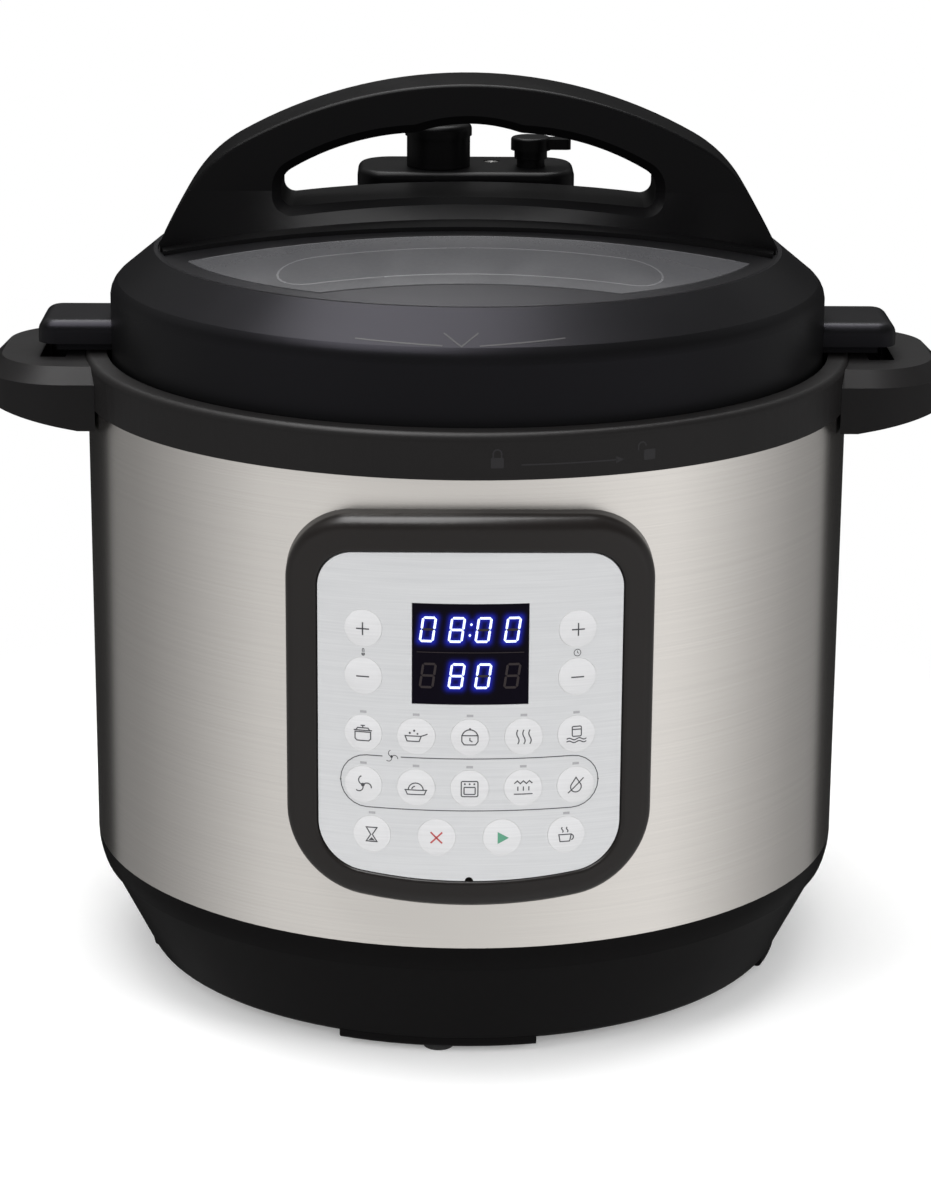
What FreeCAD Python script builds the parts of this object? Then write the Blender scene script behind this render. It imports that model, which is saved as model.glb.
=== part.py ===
import FreeCAD, Part
import math
import operator
import os

import Sketcher

Vector = FreeCAD.Vector
Rotation = FreeCAD.Rotation
Placement = FreeCAD.Placement

# Driving dimensions in millimetres and degrees, and the ones that follow from them.
# Heights are above the surface that the cooker stands on, radii are from its upright axis.
SIZES = [
    # clearances
    ("clearance", 0.3),
    ("panel_gap", 0.15),
    ("running_gap", 0.06),
    ("stop_gap", 0.5),
    # steel housing and moulded base
    ("skin_radius", 149.0),
    ("skin_wall", 0.6),
    ("skin_bottom", 52.0),
    ("skin_height", 178.0),
    ("skin_top", "=skin_bottom + skin_height"),
    ("lip_height", 8.0),
    ("lip_wall", 2.5),
    ("base_underside", 5.6),
    ("base_wall", 2.5),
    ("base_tuck", 1.8),
    ("base_crease_radius", "=skin_radius - base_tuck"),
    ("base_band_height", 9.6),
    ("base_crease_height", "=skin_bottom - base_band_height"),
    ("base_band_bow", 27.0),
    ("base_step", 1.0),
    ("base_sole_inset", 19.4),
    ("base_sole_radius", "=base_crease_radius - base_sole_inset"),
    ("base_sole_round", 4.0),
    ("pad_underside", 3.1),
    ("pad_stand", 0.5),
    ("pad_width", 18.6),
    ("pad_outer", "=base_sole_radius + pad_stand"),
    ("pad_inner", "=pad_outer - pad_width"),
    ("pad_sweep", 34.0),
    ("pad_turn", 5.1),
    ("pad_count", 4.0),
    ("pad_round", 1.8),
    ("foot_radius", 6.0),
    ("foot_round", 1.0),
    ("post_count", 3.0),
    ("post_inset", 17.0),
    ("post_circle", "=shield_radius - post_inset"),
    ("post_radius", 4.0),
    ("screw_head_radius", 4.0),
    ("screw_head", 1.6),
    ("standoff_radius", 3.0),
    ("vent_count", 24.0),
    ("vent_width", 3.0),
    ("vent_length", 16.0),
    ("vent_inset", 7.0),
    # top ring and side handles
    ("ring_proud", 0.8),
    ("ring_radius", "=skin_radius + ring_proud"),
    ("ring_height", 17.0),
    ("ring_top", "=skin_top + ring_height"),
    ("ring_round", 2.5),
    ("ring_web", 3.0),
    ("ring_width", 8.3),
    ("ring_inner", "=ring_radius - ring_width"),
    ("ring_inner_wall", 2.5),
    ("trough_drop", 4.0),
    ("trough_floor", "=skin_top - trough_drop"),
    ("trough_wall", 2.5),
    ("collar_gap", 0.8),
    ("collar_inner", "=pot_bore + pot_wall + collar_gap"),
    ("handle_reach", 37.7),
    ("handle_tip", "=ring_radius + handle_reach"),
    ("handle_half_depth", 45.0),
    ("handle_corner", 33.0),
    ("handle_drop", 1.0),
    ("handle_top", "=ring_top - handle_drop"),
    ("handle_height", 24.0),
    ("handle_bottom", "=handle_top - handle_height"),
    ("handle_rise", 9.0),
    ("handle_bevel", 6.0),
    ("slot_inset", 6.2),
    ("slot_near", "=ring_radius + slot_inset"),
    ("slot_width", 10.0),
    ("slot_length", 43.0),
    ("slot_depth", 16.0),
    # pots and heater
    ("heat_gap", 25.0),
    ("pot_bore", "=skin_radius - heat_gap"),
    ("pot_wall", 1.2),
    ("pot_drop", 6.0),
    ("pot_underside", "=skin_bottom - pot_drop"),
    ("flange_width", 7.0),
    ("flange_radius", "=pot_bore + flange_width"),
    ("flange_rise", 4.0),
    ("flange_top", "=skin_top + flange_rise"),
    ("flange_thickness", 2.0),
    ("tab_reach", 4.0),
    ("tab_radius", "=flange_radius + tab_reach"),
    ("tab_sweep", 24.0),
    ("tab_count", 6.0),
    ("pot_gap", 3.0),
    ("inner_pot_radius", "=pot_bore - pot_gap"),
    ("inner_pot_wall", 1.0),
    ("inner_pot_corner", 8.0),
    ("rim_inset", 1.0),
    ("inner_pot_rim", "=flange_radius - rim_inset"),
    ("plate_gap", 19.0),
    ("plate_radius", "=pot_bore - plate_gap"),
    ("plate_thickness", 9.8),
    ("plate_foot", 2.0),
    ("plate_foot_inset", 7.0),
    ("plate_foot_outer", "=plate_radius - plate_foot_inset"),
    ("plate_foot_width", 6.0),
    ("plate_foot_inner", "=plate_foot_outer - plate_foot_width"),
    ("sensor_radius", 15.0),
    ("sensor_head", 7.7),
    ("sensor_stem_radius", 6.0),
    ("sensor_stem", 13.0),
    ("sensor_play", 2.0),
    ("sensor_hole", "=sensor_stem_radius + sensor_play"),
    ("shield_gap", 12.0),
    ("shield_radius", "=pot_bore - shield_gap"),
    ("shield_drop", 16.0),
    ("shield_height", "=pot_underside - shield_drop"),
    ("shield_wall", 0.8),
    ("shield_rim", 6.0),
    ("board_width", 90.0),
    ("board_depth", 64.0),
    ("board_centre", 10.0),
    ("board_thickness", 1.6),
    ("board_rise", 9.0),
    ("board_height", "=base_underside + board_rise"),
    ("board_inset", 5.0),
    ("switch_height", 9.0),
    ("fuse_radius", 3.0),
    ("fuse_length", 22.0),
    # power inlet and condensation cup at the back
    ("inlet_half_width", 17.0),
    ("inlet_rise", 15.5),
    ("inlet_bottom", "=base_underside + inlet_rise"),
    ("inlet_height", 27.0),
    ("inlet_proud", 0.6),
    ("inlet_face", "=skin_radius + inlet_proud"),
    ("inlet_depth", 22.6),
    ("inlet_back", "=inlet_face - inlet_depth"),
    ("socket_wall", 5.0),
    ("socket_half_width", "=inlet_half_width - socket_wall"),
    ("socket_border", 5.25),
    ("socket_height", "=inlet_height - socket_border * 2"),
    ("socket_cut", 5.0),
    ("socket_back", 4.6),
    ("socket_depth", "=inlet_depth - socket_back"),
    ("pin_thickness", 2.0),
    ("pin_height", 5.0),
    ("pin_inset", 6.0),
    ("pin_length", "=socket_depth - pin_inset"),
    ("pin_spread", 7.0),
    ("pin_offset", 3.5),
    ("cup_half_width", 33.0),
    ("cup_drop", 4.0),
    ("cup_top", "=skin_top - cup_drop"),
    ("cup_height", 39.0),
    ("cup_bottom", "=cup_top - cup_height"),
    ("cup_wall", 1.4),
    ("cup_corner", 5.0),
    ("bracket_inset", 5.0),
    ("bracket_half_width", "=cup_half_width - bracket_inset"),
    ("bracket_lift", 9.0),
    ("bracket_bottom", "=cup_bottom + bracket_lift"),
    ("bracket_drop", 2.0),
    ("bracket_top", "=cup_top - bracket_drop"),
    ("bracket_stand", 3.0),
    ("bracket_face", "=skin_radius + bracket_stand"),
    # control panel
    ("face_stand", 10.3),
    ("face_radius", "=skin_radius + face_stand"),
    ("face_thickness", 2.0),
    ("face_half_width", 54.7),
    ("face_rise", 30.5),
    ("face_bottom", "=skin_bottom + face_rise"),
    ("face_height", 123.6),
    ("face_top", "=face_bottom + face_height"),
    ("face_corner_low", 18.0),
    ("face_corner_high", 13.5),
    ("panel_bow_low", 300.0),
    ("panel_bow_high", 585.0),
    ("face_notch", 1.5),
    ("bezel_rise", 0.7),
    ("bezel_radius", "=face_radius + bezel_rise"),
    ("bezel_border", 11.7),
    ("bezel_half_width", "=face_half_width + bezel_border"),
    ("bezel_border_low", 11.0),
    ("bezel_bottom", "=face_bottom - bezel_border_low"),
    ("bezel_border_high", 13.2),
    ("bezel_top", "=face_top + bezel_border_high"),
    ("bezel_corner_low", 32.0),
    ("bezel_corner_high", 26.0),
    ("bezel_round", 6.0),
    ("bezel_inner_round", 1.5),
    ("ledge_width", 3.0),
    ("window_half_width", 20.75),
    ("window_height", 37.3),
    ("window_drop", 37.6),
    ("window_centre", "=face_top - window_drop"),
    ("key_radius", 6.9),
    ("key_flange_reach", 0.9),
    ("key_flange", "=key_radius + key_flange_reach"),
    ("key_flange_thickness", 1.2),
    ("key_dome", 0.85),
    ("key_turn", 6.95),
    ("key_turn_low", 8.5),
    ("key_rise", 8.4),
    ("row_plus", "=window_centre + key_rise"),
    ("key_fall", 9.4),
    ("row_minus", "=window_centre - key_fall"),
    ("row_step_upper", 21.6),
    ("row_upper", "=row_minus - row_step_upper"),
    ("row_step_middle", 19.4),
    ("row_middle", "=row_upper - row_step_middle"),
    ("row_step_lower", 18.8),
    ("row_lower", "=row_middle - row_step_lower"),
    ("sheet_gap", 1.3),
    ("sheet_radius", "=face_radius - face_thickness - clearance * 2 - key_flange_thickness - sheet_gap"),
    ("sheet_thickness", 0.8),
    ("snap_radius", 4.0),
    ("snap_height", 0.4),
    ("module_margin", 1.5),
    ("module_depth", 4.2),
    ("module_back", "=sheet_radius - module_depth"),
    # lid
    ("lid_gap", 2.0),
    ("lid_radius", "=ring_inner - lid_gap"),
    ("lid_wall", 2.0),
    ("lid_lift", 3.0),
    ("lid_bottom", "=skin_top + lid_lift"),
    ("lid_side_height", 36.0),
    ("lid_side_top", "=lid_bottom + lid_side_height"),
    ("lid_shoulder_inset", 2.9),
    ("lid_shoulder_radius", "=lid_radius - lid_shoulder_inset"),
    ("lid_shoulder_rise", 6.0),
    ("lid_shoulder_height", "=lid_side_top + lid_shoulder_rise"),
    ("lid_shoulder_bow", 9.0),
    ("lid_slope_run", 14.2),
    ("lid_edge_radius", "=lid_shoulder_radius - lid_slope_run"),
    ("lid_slope_rise", 11.6),
    ("lid_edge_height", "=lid_shoulder_height + lid_slope_rise"),
    ("lid_edge_width", 1.6),
    ("dome_rise", 15.4),
    ("dome_top", "=lid_edge_height + dome_rise"),
    ("dome_bow", 450.0),
    ("dome_wall", 2.5),
    ("dome_inner_inset", 3.4),
    ("dome_inner_radius", "=lid_edge_radius - dome_inner_inset"),
    ("apex_flat", 0.5),
    ("boss_radius", 10.0),
    ("liner_height", 26.2),
    ("liner_top", "=lid_bottom + liner_height"),
    ("liner_wall", 1.2),
    ("liner_rise", 10.4),
    ("liner_inset", 12.0),
    ("liner_inner", "=seal_inner - liner_inset"),
    ("liner_slope", 7.0),
    ("liner_radius", "=lid_radius - lid_wall - clearance"),
    ("lug_reach", 5.2),
    ("lug_inner", "=liner_radius - lug_reach"),
    ("lug_thickness", 2.0),
    ("nut_radius", 9.0),
    ("nut_height", 4.5),
    ("fin_length", 27.5),
    ("fin_reach", "=lid_radius + fin_length"),
    ("fin_half_depth", 20.0),
    ("fin_lift", 3.7),
    ("fin_bottom", "=ring_top + fin_lift"),
    ("fin_height", 9.0),
    ("fin_top", "=fin_bottom + fin_height"),
    ("fin_round", 4.5),
    ("fin_corner", 7.0),
    ("fin_neck_inset", 7.0),
    ("fin_neck_reach", "=fin_reach - fin_neck_inset"),
    ("fin_neck_step", 5.0),
    ("fin_neck_half_depth", "=fin_half_depth - fin_neck_step"),
    ("fin_neck_lift", 0.4),
    ("fin_neck_bottom", "=ring_top + fin_neck_lift"),
    ("crescent_inset", 8.1),
    ("crescent_radius", "=lid_edge_radius - crescent_inset"),
    ("crescent_cut", 13.9),
    ("crescent_front", "=crescent_radius - crescent_cut"),
    ("crescent_back", 51.0),
    ("crescent_bow", 605.0),
    ("crescent_proud", 0.3),
    ("crescent_depth", 0.9),
    ("seal_overlap", 5.0),
    ("seal_inner", "=inner_pot_radius - seal_overlap"),
    ("seal_width", 12.5),
    ("seal_outer", "=seal_inner + seal_width"),
    ("seal_gap", 0.4),
    ("seal_bottom", "=flange_top + inner_pot_wall + clearance"),
    ("seal_top", "=liner_top - liner_rise - liner_wall - seal_gap"),
    ("rack_inset", 2.5),
    ("rack_radius", "=seal_inner + rack_inset"),
    ("rack_wire", 1.3),
    # lid handle
    ("seam_rise", 8.6),
    ("seam_height", "=dome_top + seam_rise"),
    ("seam_reach", 107.4),
    ("arch_rise", 41.0),
    ("arch_top", "=seam_height + arch_rise"),
    ("arch_bow", 182.0),
    ("arch_shoulder", 88.6),
    ("arch_foot", 119.2),
    ("arch_foot_drop", 12.7),
    ("arch_foot_height", "=dome_top - arch_foot_drop"),
    ("grip_half_depth", 18.5),
    ("grip_round", 1.6),
    ("opening_half_width", 72.0),
    ("opening_side_rise", 5.7),
    ("opening_side", "=seam_height + opening_side_rise"),
    ("opening_side_bow", 102.0),
    ("opening_corner", 8.0),
    ("opening_bevel", 3.5),
    ("opening_drop", 6.3),
    ("opening_floor", "=seam_height - opening_drop"),
    ("opening_floor_bow", 600.0),
    ("opening_floor_corner", 4.5),
    ("finger_half_width", 20.0),
    ("finger_drop", 18.8),
    ("finger_height", "=arch_top - finger_drop"),
    ("finger_bow", 60.5),
    ("finger_round", 8.0),
    ("foot_front", 35.5),
    ("foot_back", 28.5),
    ("foot_bow", 333.0),
    ("foot_back_bow", 481.0),
    ("foot_depth", 3.0),
    ("apron_width", 8.0),
    ("apron_thickness", 1.6),
    # steam fittings on the lid
    ("platform_left", 44.0),
    ("platform_right", 43.0),
    ("platform_front", 30.0),
    ("platform_back", 74.0),
    ("platform_corner", 14.0),
    ("platform_rise", 8.0),
    ("platform_top", "=dome_top + platform_rise"),
    ("platform_round", 3.0),
    ("valve_x", -11.5),
    ("valve_y", 48.0),
    ("valve_radius", 13.4),
    ("valve_height", 17.5),
    ("valve_top", "=platform_top + valve_height"),
    ("valve_round", 2.5),
    ("valve_cap", 5.0),
    ("valve_overhang", 0.7),
    ("pipe_radius", 4.5),
    ("pipe_bore", 2.0),
    ("pipe_above", 6.0),
    ("pipe_nut_radius", 8.0),
    ("pipe_nut", 2.5),
    ("cap_shield_radius", 13.0),
    ("cap_shield_wall", 1.0),
    ("cap_shield_height", 14.0),
    ("cap_window", 5.0),
    ("cap_window_count", 6.0),
    ("release_x", 25.6),
    ("release_y", 48.0),
    ("release_stem_radius", 5.6),
    ("release_stem_depth", 7.0),
    ("release_stem_bottom", "=platform_top - release_stem_depth"),
    ("release_travel", 2.8),
    ("release_neck_radius", 6.6),
    ("release_neck", 3.4),
    ("release_cap_radius", 8.0),
    ("release_cap_height", 8.6),
    ("release_cap_round", 1.2),
    ("release_tab_reach", 16.0),
    ("release_tab_half_width", 4.0),
    ("release_tab_round", 2.0),
    ("release_tab_lift", 0.4),
    ("release_tab_height", 4.2),
    ("spigot_radius", 3.0),
    ("spigot_height", 5.0),
    ("float_x", 10.0),
    ("float_y", 60.0),
    ("float_radius", 3.0),
    ("float_flange", 5.5),
    ("float_flange_thickness", 3.0),
    ("float_rise", 4.5),
    ("float_cap_height", 4.0),
]

doc = FreeCAD.newDocument("pressure_cooker")
sheet = doc.addObject("Spreadsheet::Sheet", "sizes")
for row, (alias, value) in enumerate(SIZES, start=1):
    sheet.set(f"A{row}", alias)
    sheet.setAlias(f"B{row}", alias)
for row, (alias, value) in enumerate(SIZES, start=1):
    sheet.set(f"B{row}", str(value))
doc.recompute()


# A length that carries its number and the sheet expression that drives it.
class Size:
    def __init__(self, value, text):
        self.value = value
        self.text = text

    def __add__(self, other):
        return combine(self, other, operator.add, "+")

    def __radd__(self, other):
        return combine(other, self, operator.add, "+")

    def __sub__(self, other):
        return combine(self, other, operator.sub, "-")

    def __rsub__(self, other):
        return combine(other, self, operator.sub, "-")

    def __mul__(self, other):
        return combine(self, other, operator.mul, "*")

    def __rmul__(self, other):
        return combine(other, self, operator.mul, "*")

    def __truediv__(self, other):
        return combine(self, other, operator.truediv, "/")

    def __neg__(self):
        return Size(-self.value, f"(-{self.text})")


def as_size(number):
    if isinstance(number, Size):
        return number
    return Size(float(number), f"({float(number)})")


def combine(first, second, work, sign):
    first = as_size(first)
    second = as_size(second)
    return Size(work(first.value, second.value), f"({first.text} {sign} {second.text})")


def root(size):
    return Size(math.sqrt(size.value), f"sqrt({size.text})")


def cell(alias):
    return Size(float(sheet.get(alias)), f"sizes.{alias}")


z = {alias: cell(alias) for alias, value in SIZES}
PARTS = []


def keep(item, label):
    item.Label = label
    PARTS.append(item)
    return item


def bind(item, **sizes):
    for name, size in sizes.items():
        size = as_size(size)
        setattr(item, name, size.value)
        item.setExpression(name, size.text)


def new_body(name):
    return doc.addObject("PartDesign::Body", name)


def origin_feature(body, role):
    return next(item for item in body.Origin.OriginFeatures if item.Role == role)


# An empty sketch on one of the body's own planes, raised off it, or turned about the upright axis.
def new_sketch(body, plane, raised=None, turned=None):
    sketch = body.newObject("Sketcher::SketchObject", f"{body.Name}_sketch")
    sketch.AttachmentSupport = [(origin_feature(body, plane), "")]
    sketch.MapMode = "FlatFace"
    if raised is not None:
        sketch.AttachmentOffset = Placement(Vector(0, 0, raised.value), Rotation())
        sketch.setExpression("AttachmentOffset.Base.z", raised.text)
    if turned is not None:
        sketch.AttachmentOffset = Placement(Vector(0, 0, 0), Rotation(Vector(0, 1, 0), turned.value))
    return sketch


def drive(sketch, constraint, size):
    index = sketch.addConstraint(constraint)
    sketch.setExpression(f"Constraints[{index}]", size.text)


def arc_between(start, end, radius, turn):
    chord = end - start
    left = Vector(-chord.y, chord.x, 0).normalize()
    reach = math.sqrt(radius ** 2 - (chord.Length / 2) ** 2)
    centre = (start + end) * 0.5 + left * (turn * reach)
    first, last = (start, end) if turn > 0 else (end, start)
    angles = [math.atan2(point.y - centre.y, point.x - centre.x) for point in (first, last)]
    return Part.ArcOfCircle(Part.Circle(centre, Vector(0, 0, 1), radius), *angles)


# A closed outline. Each corner is (x, y), or (x, y, radius, turn) where an arc leaves it:
# turn is 1 for an arc that runs counter-clockwise and -1 for one that runs clockwise.
def outline(sketch, corners):
    corners = [tuple(as_size(item) for item in corner[:3]) + corner[3:] for corner in corners]
    first = sketch.GeometryCount
    count = len(corners)
    points = [Vector(corner[0].value, corner[1].value, 0) for corner in corners]
    starts = []
    for place, corner in enumerate(corners):
        here = points[place]
        after = points[(place + 1) % count]
        if len(corner) == 4:
            edge = arc_between(here, after, corner[2].value, corner[3])
        else:
            edge = Part.LineSegment(here, after)
        sketch.addGeometry(edge, False)
        starts.append(2 if len(corner) == 4 and corner[3] < 0 else 1)
    for place, corner in enumerate(corners):
        index = first + place
        after = (place + 1) % count
        sketch.addConstraint(
            Sketcher.Constraint("Coincident", index, 3 - starts[place], first + after, starts[after])
        )
        for kind, size in (("DistanceX", corner[0]), ("DistanceY", corner[1])):
            drive(sketch, Sketcher.Constraint(kind, -1, 1, index, starts[place], size.value), size)
        if len(corner) == 4:
            drive(sketch, Sketcher.Constraint("Radius", index, corner[2].value), corner[2])
    return sketch


def circle(sketch, x, y, radius):
    x, y, radius = as_size(x), as_size(y), as_size(radius)
    index = sketch.addGeometry(Part.Circle(Vector(x.value, y.value, 0), Vector(0, 0, 1), radius.value), False)
    drive(sketch, Sketcher.Constraint("DistanceX", -1, 1, index, 3, x.value), x)
    drive(sketch, Sketcher.Constraint("DistanceY", -1, 1, index, 3, y.value), y)
    drive(sketch, Sketcher.Constraint("Radius", index, radius.value), radius)
    return sketch


def box_outline(sketch, left, right, low, high):
    return outline(sketch, [(left, low), (right, low), (right, high), (left, high)])


def feature(body, kind, sketch):
    item = body.newObject(f"PartDesign::{kind}", f"{body.Name}_{kind.lower()}")
    item.Profile = sketch
    return item


def revolve(body, sketch, sweep=None):
    item = feature(body, "Revolution", sketch)
    item.ReferenceAxis = (sketch, ["V_Axis"])
    item.Angle = 360
    if sweep is not None:
        item.Midplane = True
        bind(item, Angle=sweep)
    return item


def groove(body, sketch):
    item = feature(body, "Groove", sketch)
    item.ReferenceAxis = (sketch, ["V_Axis"])
    item.Angle = 360
    return item


def pad(body, sketch, length, both_ways=False, backwards=False):
    item = feature(body, "Pad", sketch)
    if both_ways:
        item.SideType = "Symmetric"
    item.Reversed = backwards
    bind(item, Length=length)
    return item


def pocket(body, sketch, length, both_ways=False, backwards=False):
    item = feature(body, "Pocket", sketch)
    if both_ways:
        item.SideType = "Symmetric"
    item.Reversed = backwards
    bind(item, Length=length)
    return item


def around(body, item, count):
    pattern = body.newObject("PartDesign::PolarPattern", f"{body.Name}_pattern")
    pattern.Originals = [item]
    pattern.Axis = (origin_feature(body, "Z_Axis"), [""])
    pattern.Angle = 360
    pattern.Occurrences = round(count.value)
    pattern.setExpression("Occurrences", count.text)
    body.Tip = pattern
    return pattern


# Rounds or bevels the edges of the body's latest shape that pass the test.
def dress(body, kind, test, **sizes):
    doc.recompute()
    base = body.Tip
    names = [f"Edge{place}" for place, edge in enumerate(base.Shape.Edges, start=1) if test(edge)]
    item = body.newObject(f"PartDesign::{kind}", f"{body.Name}_{kind.lower()}")
    item.Base = (base, names)
    bind(item, **sizes)
    return item


def near(first, second):
    return abs(first - second) < 0.01


def level(edge, height):
    return near(edge.BoundBox.ZMin, height.value) and near(edge.BoundBox.ZMax, height.value)


def upright_at(edge, x, y):
    box = edge.BoundBox
    is_upright = near(box.XMin, box.XMax) and near(box.YMin, box.YMax)
    return is_upright and near(box.XMin, x.value) and near(box.YMin, y.value)


def primitive(kind, name, base=(0, 0, 0), turn=None, **sizes):
    item = doc.addObject(f"Part::{kind}", name)
    bind(item, **sizes)
    base = [as_size(number) for number in base]
    spin = turn if turn is not None else Rotation()
    item.Placement = Placement(Vector(*(number.value for number in base)), spin)
    for axis, number in zip("xyz", base):
        item.setExpression(f"Placement.Base.{axis}", number.text)
    return item


def cut(name, base, tool):
    item = doc.addObject("Part::Cut", name)
    item.Base = base
    item.Tool = tool
    return item


def common(name, base, tool):
    item = doc.addObject("Part::Common", name)
    item.Base = base
    item.Tool = tool
    return item


def fuse(name, items):
    item = doc.addObject("Part::MultiFuse", name)
    item.Shapes = items
    return item


def group(name, items):
    item = doc.addObject("Part::Compound", name)
    item.Links = items
    return item


# A piece turned about an upright axis that stands at (x, y).
def turned_piece(label, corners, x=0, y=0):
    body = new_body(label)
    revolve(body, outline(new_sketch(body, "XZ_Plane"), corners))
    x, y = as_size(x), as_size(y)
    body.Placement = Placement(Vector(x.value, y.value, 0), Rotation())
    body.setExpression("Placement.Base.x", x.text)
    body.setExpression("Placement.Base.y", y.text)
    return keep(body, label)


skin_inner = z["skin_radius"] - z["skin_wall"]
base_floor = z["base_underside"] + z["base_wall"]
flange_underside = z["flange_top"] - z["flange_thickness"]
pot_floor = z["pot_underside"] + z["pot_wall"]
plate_top = pot_floor + z["plate_foot"] + z["plate_thickness"]
face_back = z["face_radius"] - z["face_thickness"]
liner_underside = z["liner_top"] - z["liner_wall"]
post_step = 2 * math.pi / z["post_count"].value
post_places = [post_step * place - math.pi / 2 for place in range(round(z["post_count"].value))]


# Moulded bottom: a dish whose side bows out to the steel, with four arc pads below, posts inside and vents.
def make_base_shell():
    body = new_body("base_shell")
    lip_top = z["skin_bottom"] + z["lip_height"]
    lip_inner = skin_inner - z["lip_wall"]
    section = [
        (0, z["base_underside"]),
        (z["base_sole_radius"], z["base_underside"]),
        (z["base_crease_radius"] - z["base_step"], z["base_crease_height"]),
        (z["base_crease_radius"], z["base_crease_height"], z["base_band_bow"], 1),
        (z["skin_radius"], z["skin_bottom"]),
        (skin_inner, z["skin_bottom"]),
        (skin_inner, lip_top),
        (lip_inner, lip_top),
        (lip_inner, z["skin_bottom"]),
        (z["base_crease_radius"] - z["base_wall"], z["base_crease_height"] + z["base_wall"]),
        (z["base_sole_radius"] - z["base_wall"], base_floor),
        (0, base_floor),
    ]
    revolve(body, outline(new_sketch(body, "XZ_Plane"), section))
    dress(
        body, "Fillet",
        lambda edge: level(edge, z["base_underside"]) and edge.BoundBox.XMax > z["pad_inner"].value,
        Radius=z["base_sole_round"],
    )
    inside = new_sketch(body, "XY_Plane", raised=base_floor - z["base_wall"] / 2)
    for angle in post_places:
        circle(inside, z["post_circle"] * math.cos(angle), z["post_circle"] * math.sin(angle), z["post_radius"])
    pad(body, inside, z["shield_height"] - base_floor + z["base_wall"] / 2)
    inside = new_sketch(body, "XY_Plane", raised=base_floor - z["base_wall"] / 2)
    for x, y in board_corners():
        circle(inside, x, y, z["standoff_radius"])
    pad(body, inside, z["board_height"] - base_floor + z["base_wall"] / 2)
    hole = new_sketch(body, "XZ_Plane")
    half = z["inlet_half_width"] + z["clearance"]
    low = z["inlet_bottom"] - z["clearance"]
    box_outline(hole, -half, half, low, low + z["inlet_height"] + z["clearance"] * 2)
    pocket(body, hole, z["skin_radius"] + z["lip_height"])
    vent_end = z["post_circle"] - z["post_radius"] - z["vent_inset"]
    vent = new_sketch(body, "XY_Plane", raised=base_floor + z["base_wall"])
    box_outline(vent, vent_end - z["vent_length"], vent_end, -z["vent_width"] / 2, z["vent_width"] / 2)
    around(body, pocket(body, vent, z["base_wall"] * 3), z["vent_count"])
    foot = new_sketch(body, "XZ_Plane", turned=-z["pad_turn"])
    pad_top = base_floor - z["base_wall"] / 2
    outline(foot, [
        (z["pad_inner"], z["pad_underside"]),
        (z["pad_outer"] - z["pad_round"], z["pad_underside"], z["pad_round"], 1),
        (z["pad_outer"], z["pad_underside"] + z["pad_round"]),
        (z["pad_outer"], pad_top),
        (z["pad_inner"], pad_top),
    ])
    around(body, revolve(body, foot, z["pad_sweep"]), z["pad_count"])
    return keep(body, "base_shell")


def board_corners():
    half_width = z["board_width"] / 2 - z["board_inset"]
    half_depth = z["board_depth"] / 2 - z["board_inset"]
    return [
        (x, z["board_centre"] + y)
        for x in (-half_width, half_width)
        for y in (-half_depth, half_depth)
    ]


# Rubber bumps under the arc pads, and the screws whose heads sit under the posts.
def make_feet_and_screws():
    feet = []
    circle_radius = (z["pad_inner"] + z["pad_outer"]) / 2
    count = int(z["pad_count"].value)
    for place in range(count):
        angle = math.radians(360 / count * place - z["pad_turn"].value)
        spot = (circle_radius * math.cos(angle), circle_radius * math.sin(angle), 0)
        bump = primitive("Cylinder", "foot", spot, Radius=z["foot_radius"], Height=z["pad_underside"])
        doc.recompute()
        rounded = doc.addObject("Part::Fillet", "rounded_foot")
        rounded.Base = bump
        low = [i for i, edge in enumerate(bump.Shape.Edges, start=1) if near(edge.BoundBox.ZMax, 0)]
        rounded.Edges = [(i, z["foot_round"].value, z["foot_round"].value) for i in low]
        feet.append(rounded)
    keep(group("base_feet", feet), "base_feet")
    screws = []
    for angle in post_places:
        spot = (
            z["post_circle"] * math.cos(angle),
            z["post_circle"] * math.sin(angle),
            z["base_underside"] - z["screw_head"],
        )
        screws.append(
            primitive("Cylinder", "screw", spot, Radius=z["screw_head_radius"], Height=z["screw_head"])
        )
    keep(group("base_screws", screws), "base_screws")


# The outline of a panel with bowed ends, grown by a margin on every side.
def panel_outline(sketch, half, low, high, corner_low, corner_high, margin):
    half = half + margin
    ends = []
    for end, corner, bow, side in (
        (low, corner_low, z["panel_bow_low"], -1),
        (high, corner_high, z["panel_bow_high"], 1),
    ):
        corner = corner + margin
        bow = bow + margin
        crest = end + margin * side
        bow_centre = crest - bow * side
        corner_x = half - corner
        rise = root((bow - corner) * (bow - corner) - corner_x * corner_x)
        corner_z = bow_centre + rise * side
        share = bow / (bow - corner)
        ends.append((corner_z, corner, corner_x * share, bow_centre + rise * side * share, bow))
    (low_z, low_r, low_x, low_tip, low_bow), (high_z, high_r, high_x, high_tip, high_bow) = ends
    return outline(sketch, [
        (half, low_z),
        (half, high_z, high_r, 1),
        (high_x, high_tip, high_bow, 1),
        (-high_x, high_tip, high_r, 1),
        (-half, high_z),
        (-half, low_z, low_r, 1),
        (-low_x, low_tip, low_bow, 1),
        (low_x, low_tip, low_r, 1),
    ])


def face_outline(sketch, margin):
    return panel_outline(
        sketch, z["face_half_width"], z["face_bottom"], z["face_top"],
        z["face_corner_low"], z["face_corner_high"], as_size(margin),
    )


def bezel_outline(sketch, margin=0):
    return panel_outline(
        sketch, z["bezel_half_width"], z["bezel_bottom"], z["bezel_top"],
        z["bezel_corner_low"], z["bezel_corner_high"], as_size(margin),
    )


# Removes everything between two radii from a body that stands at the panel.
def trim_round(body, inner, outer):
    sketch = new_sketch(body, "XZ_Plane")
    box_outline(sketch, inner, outer, as_size(0), z["dome_top"])
    groove(body, sketch)


panel_reach = z["bezel_radius"] + z["lip_height"]


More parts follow.
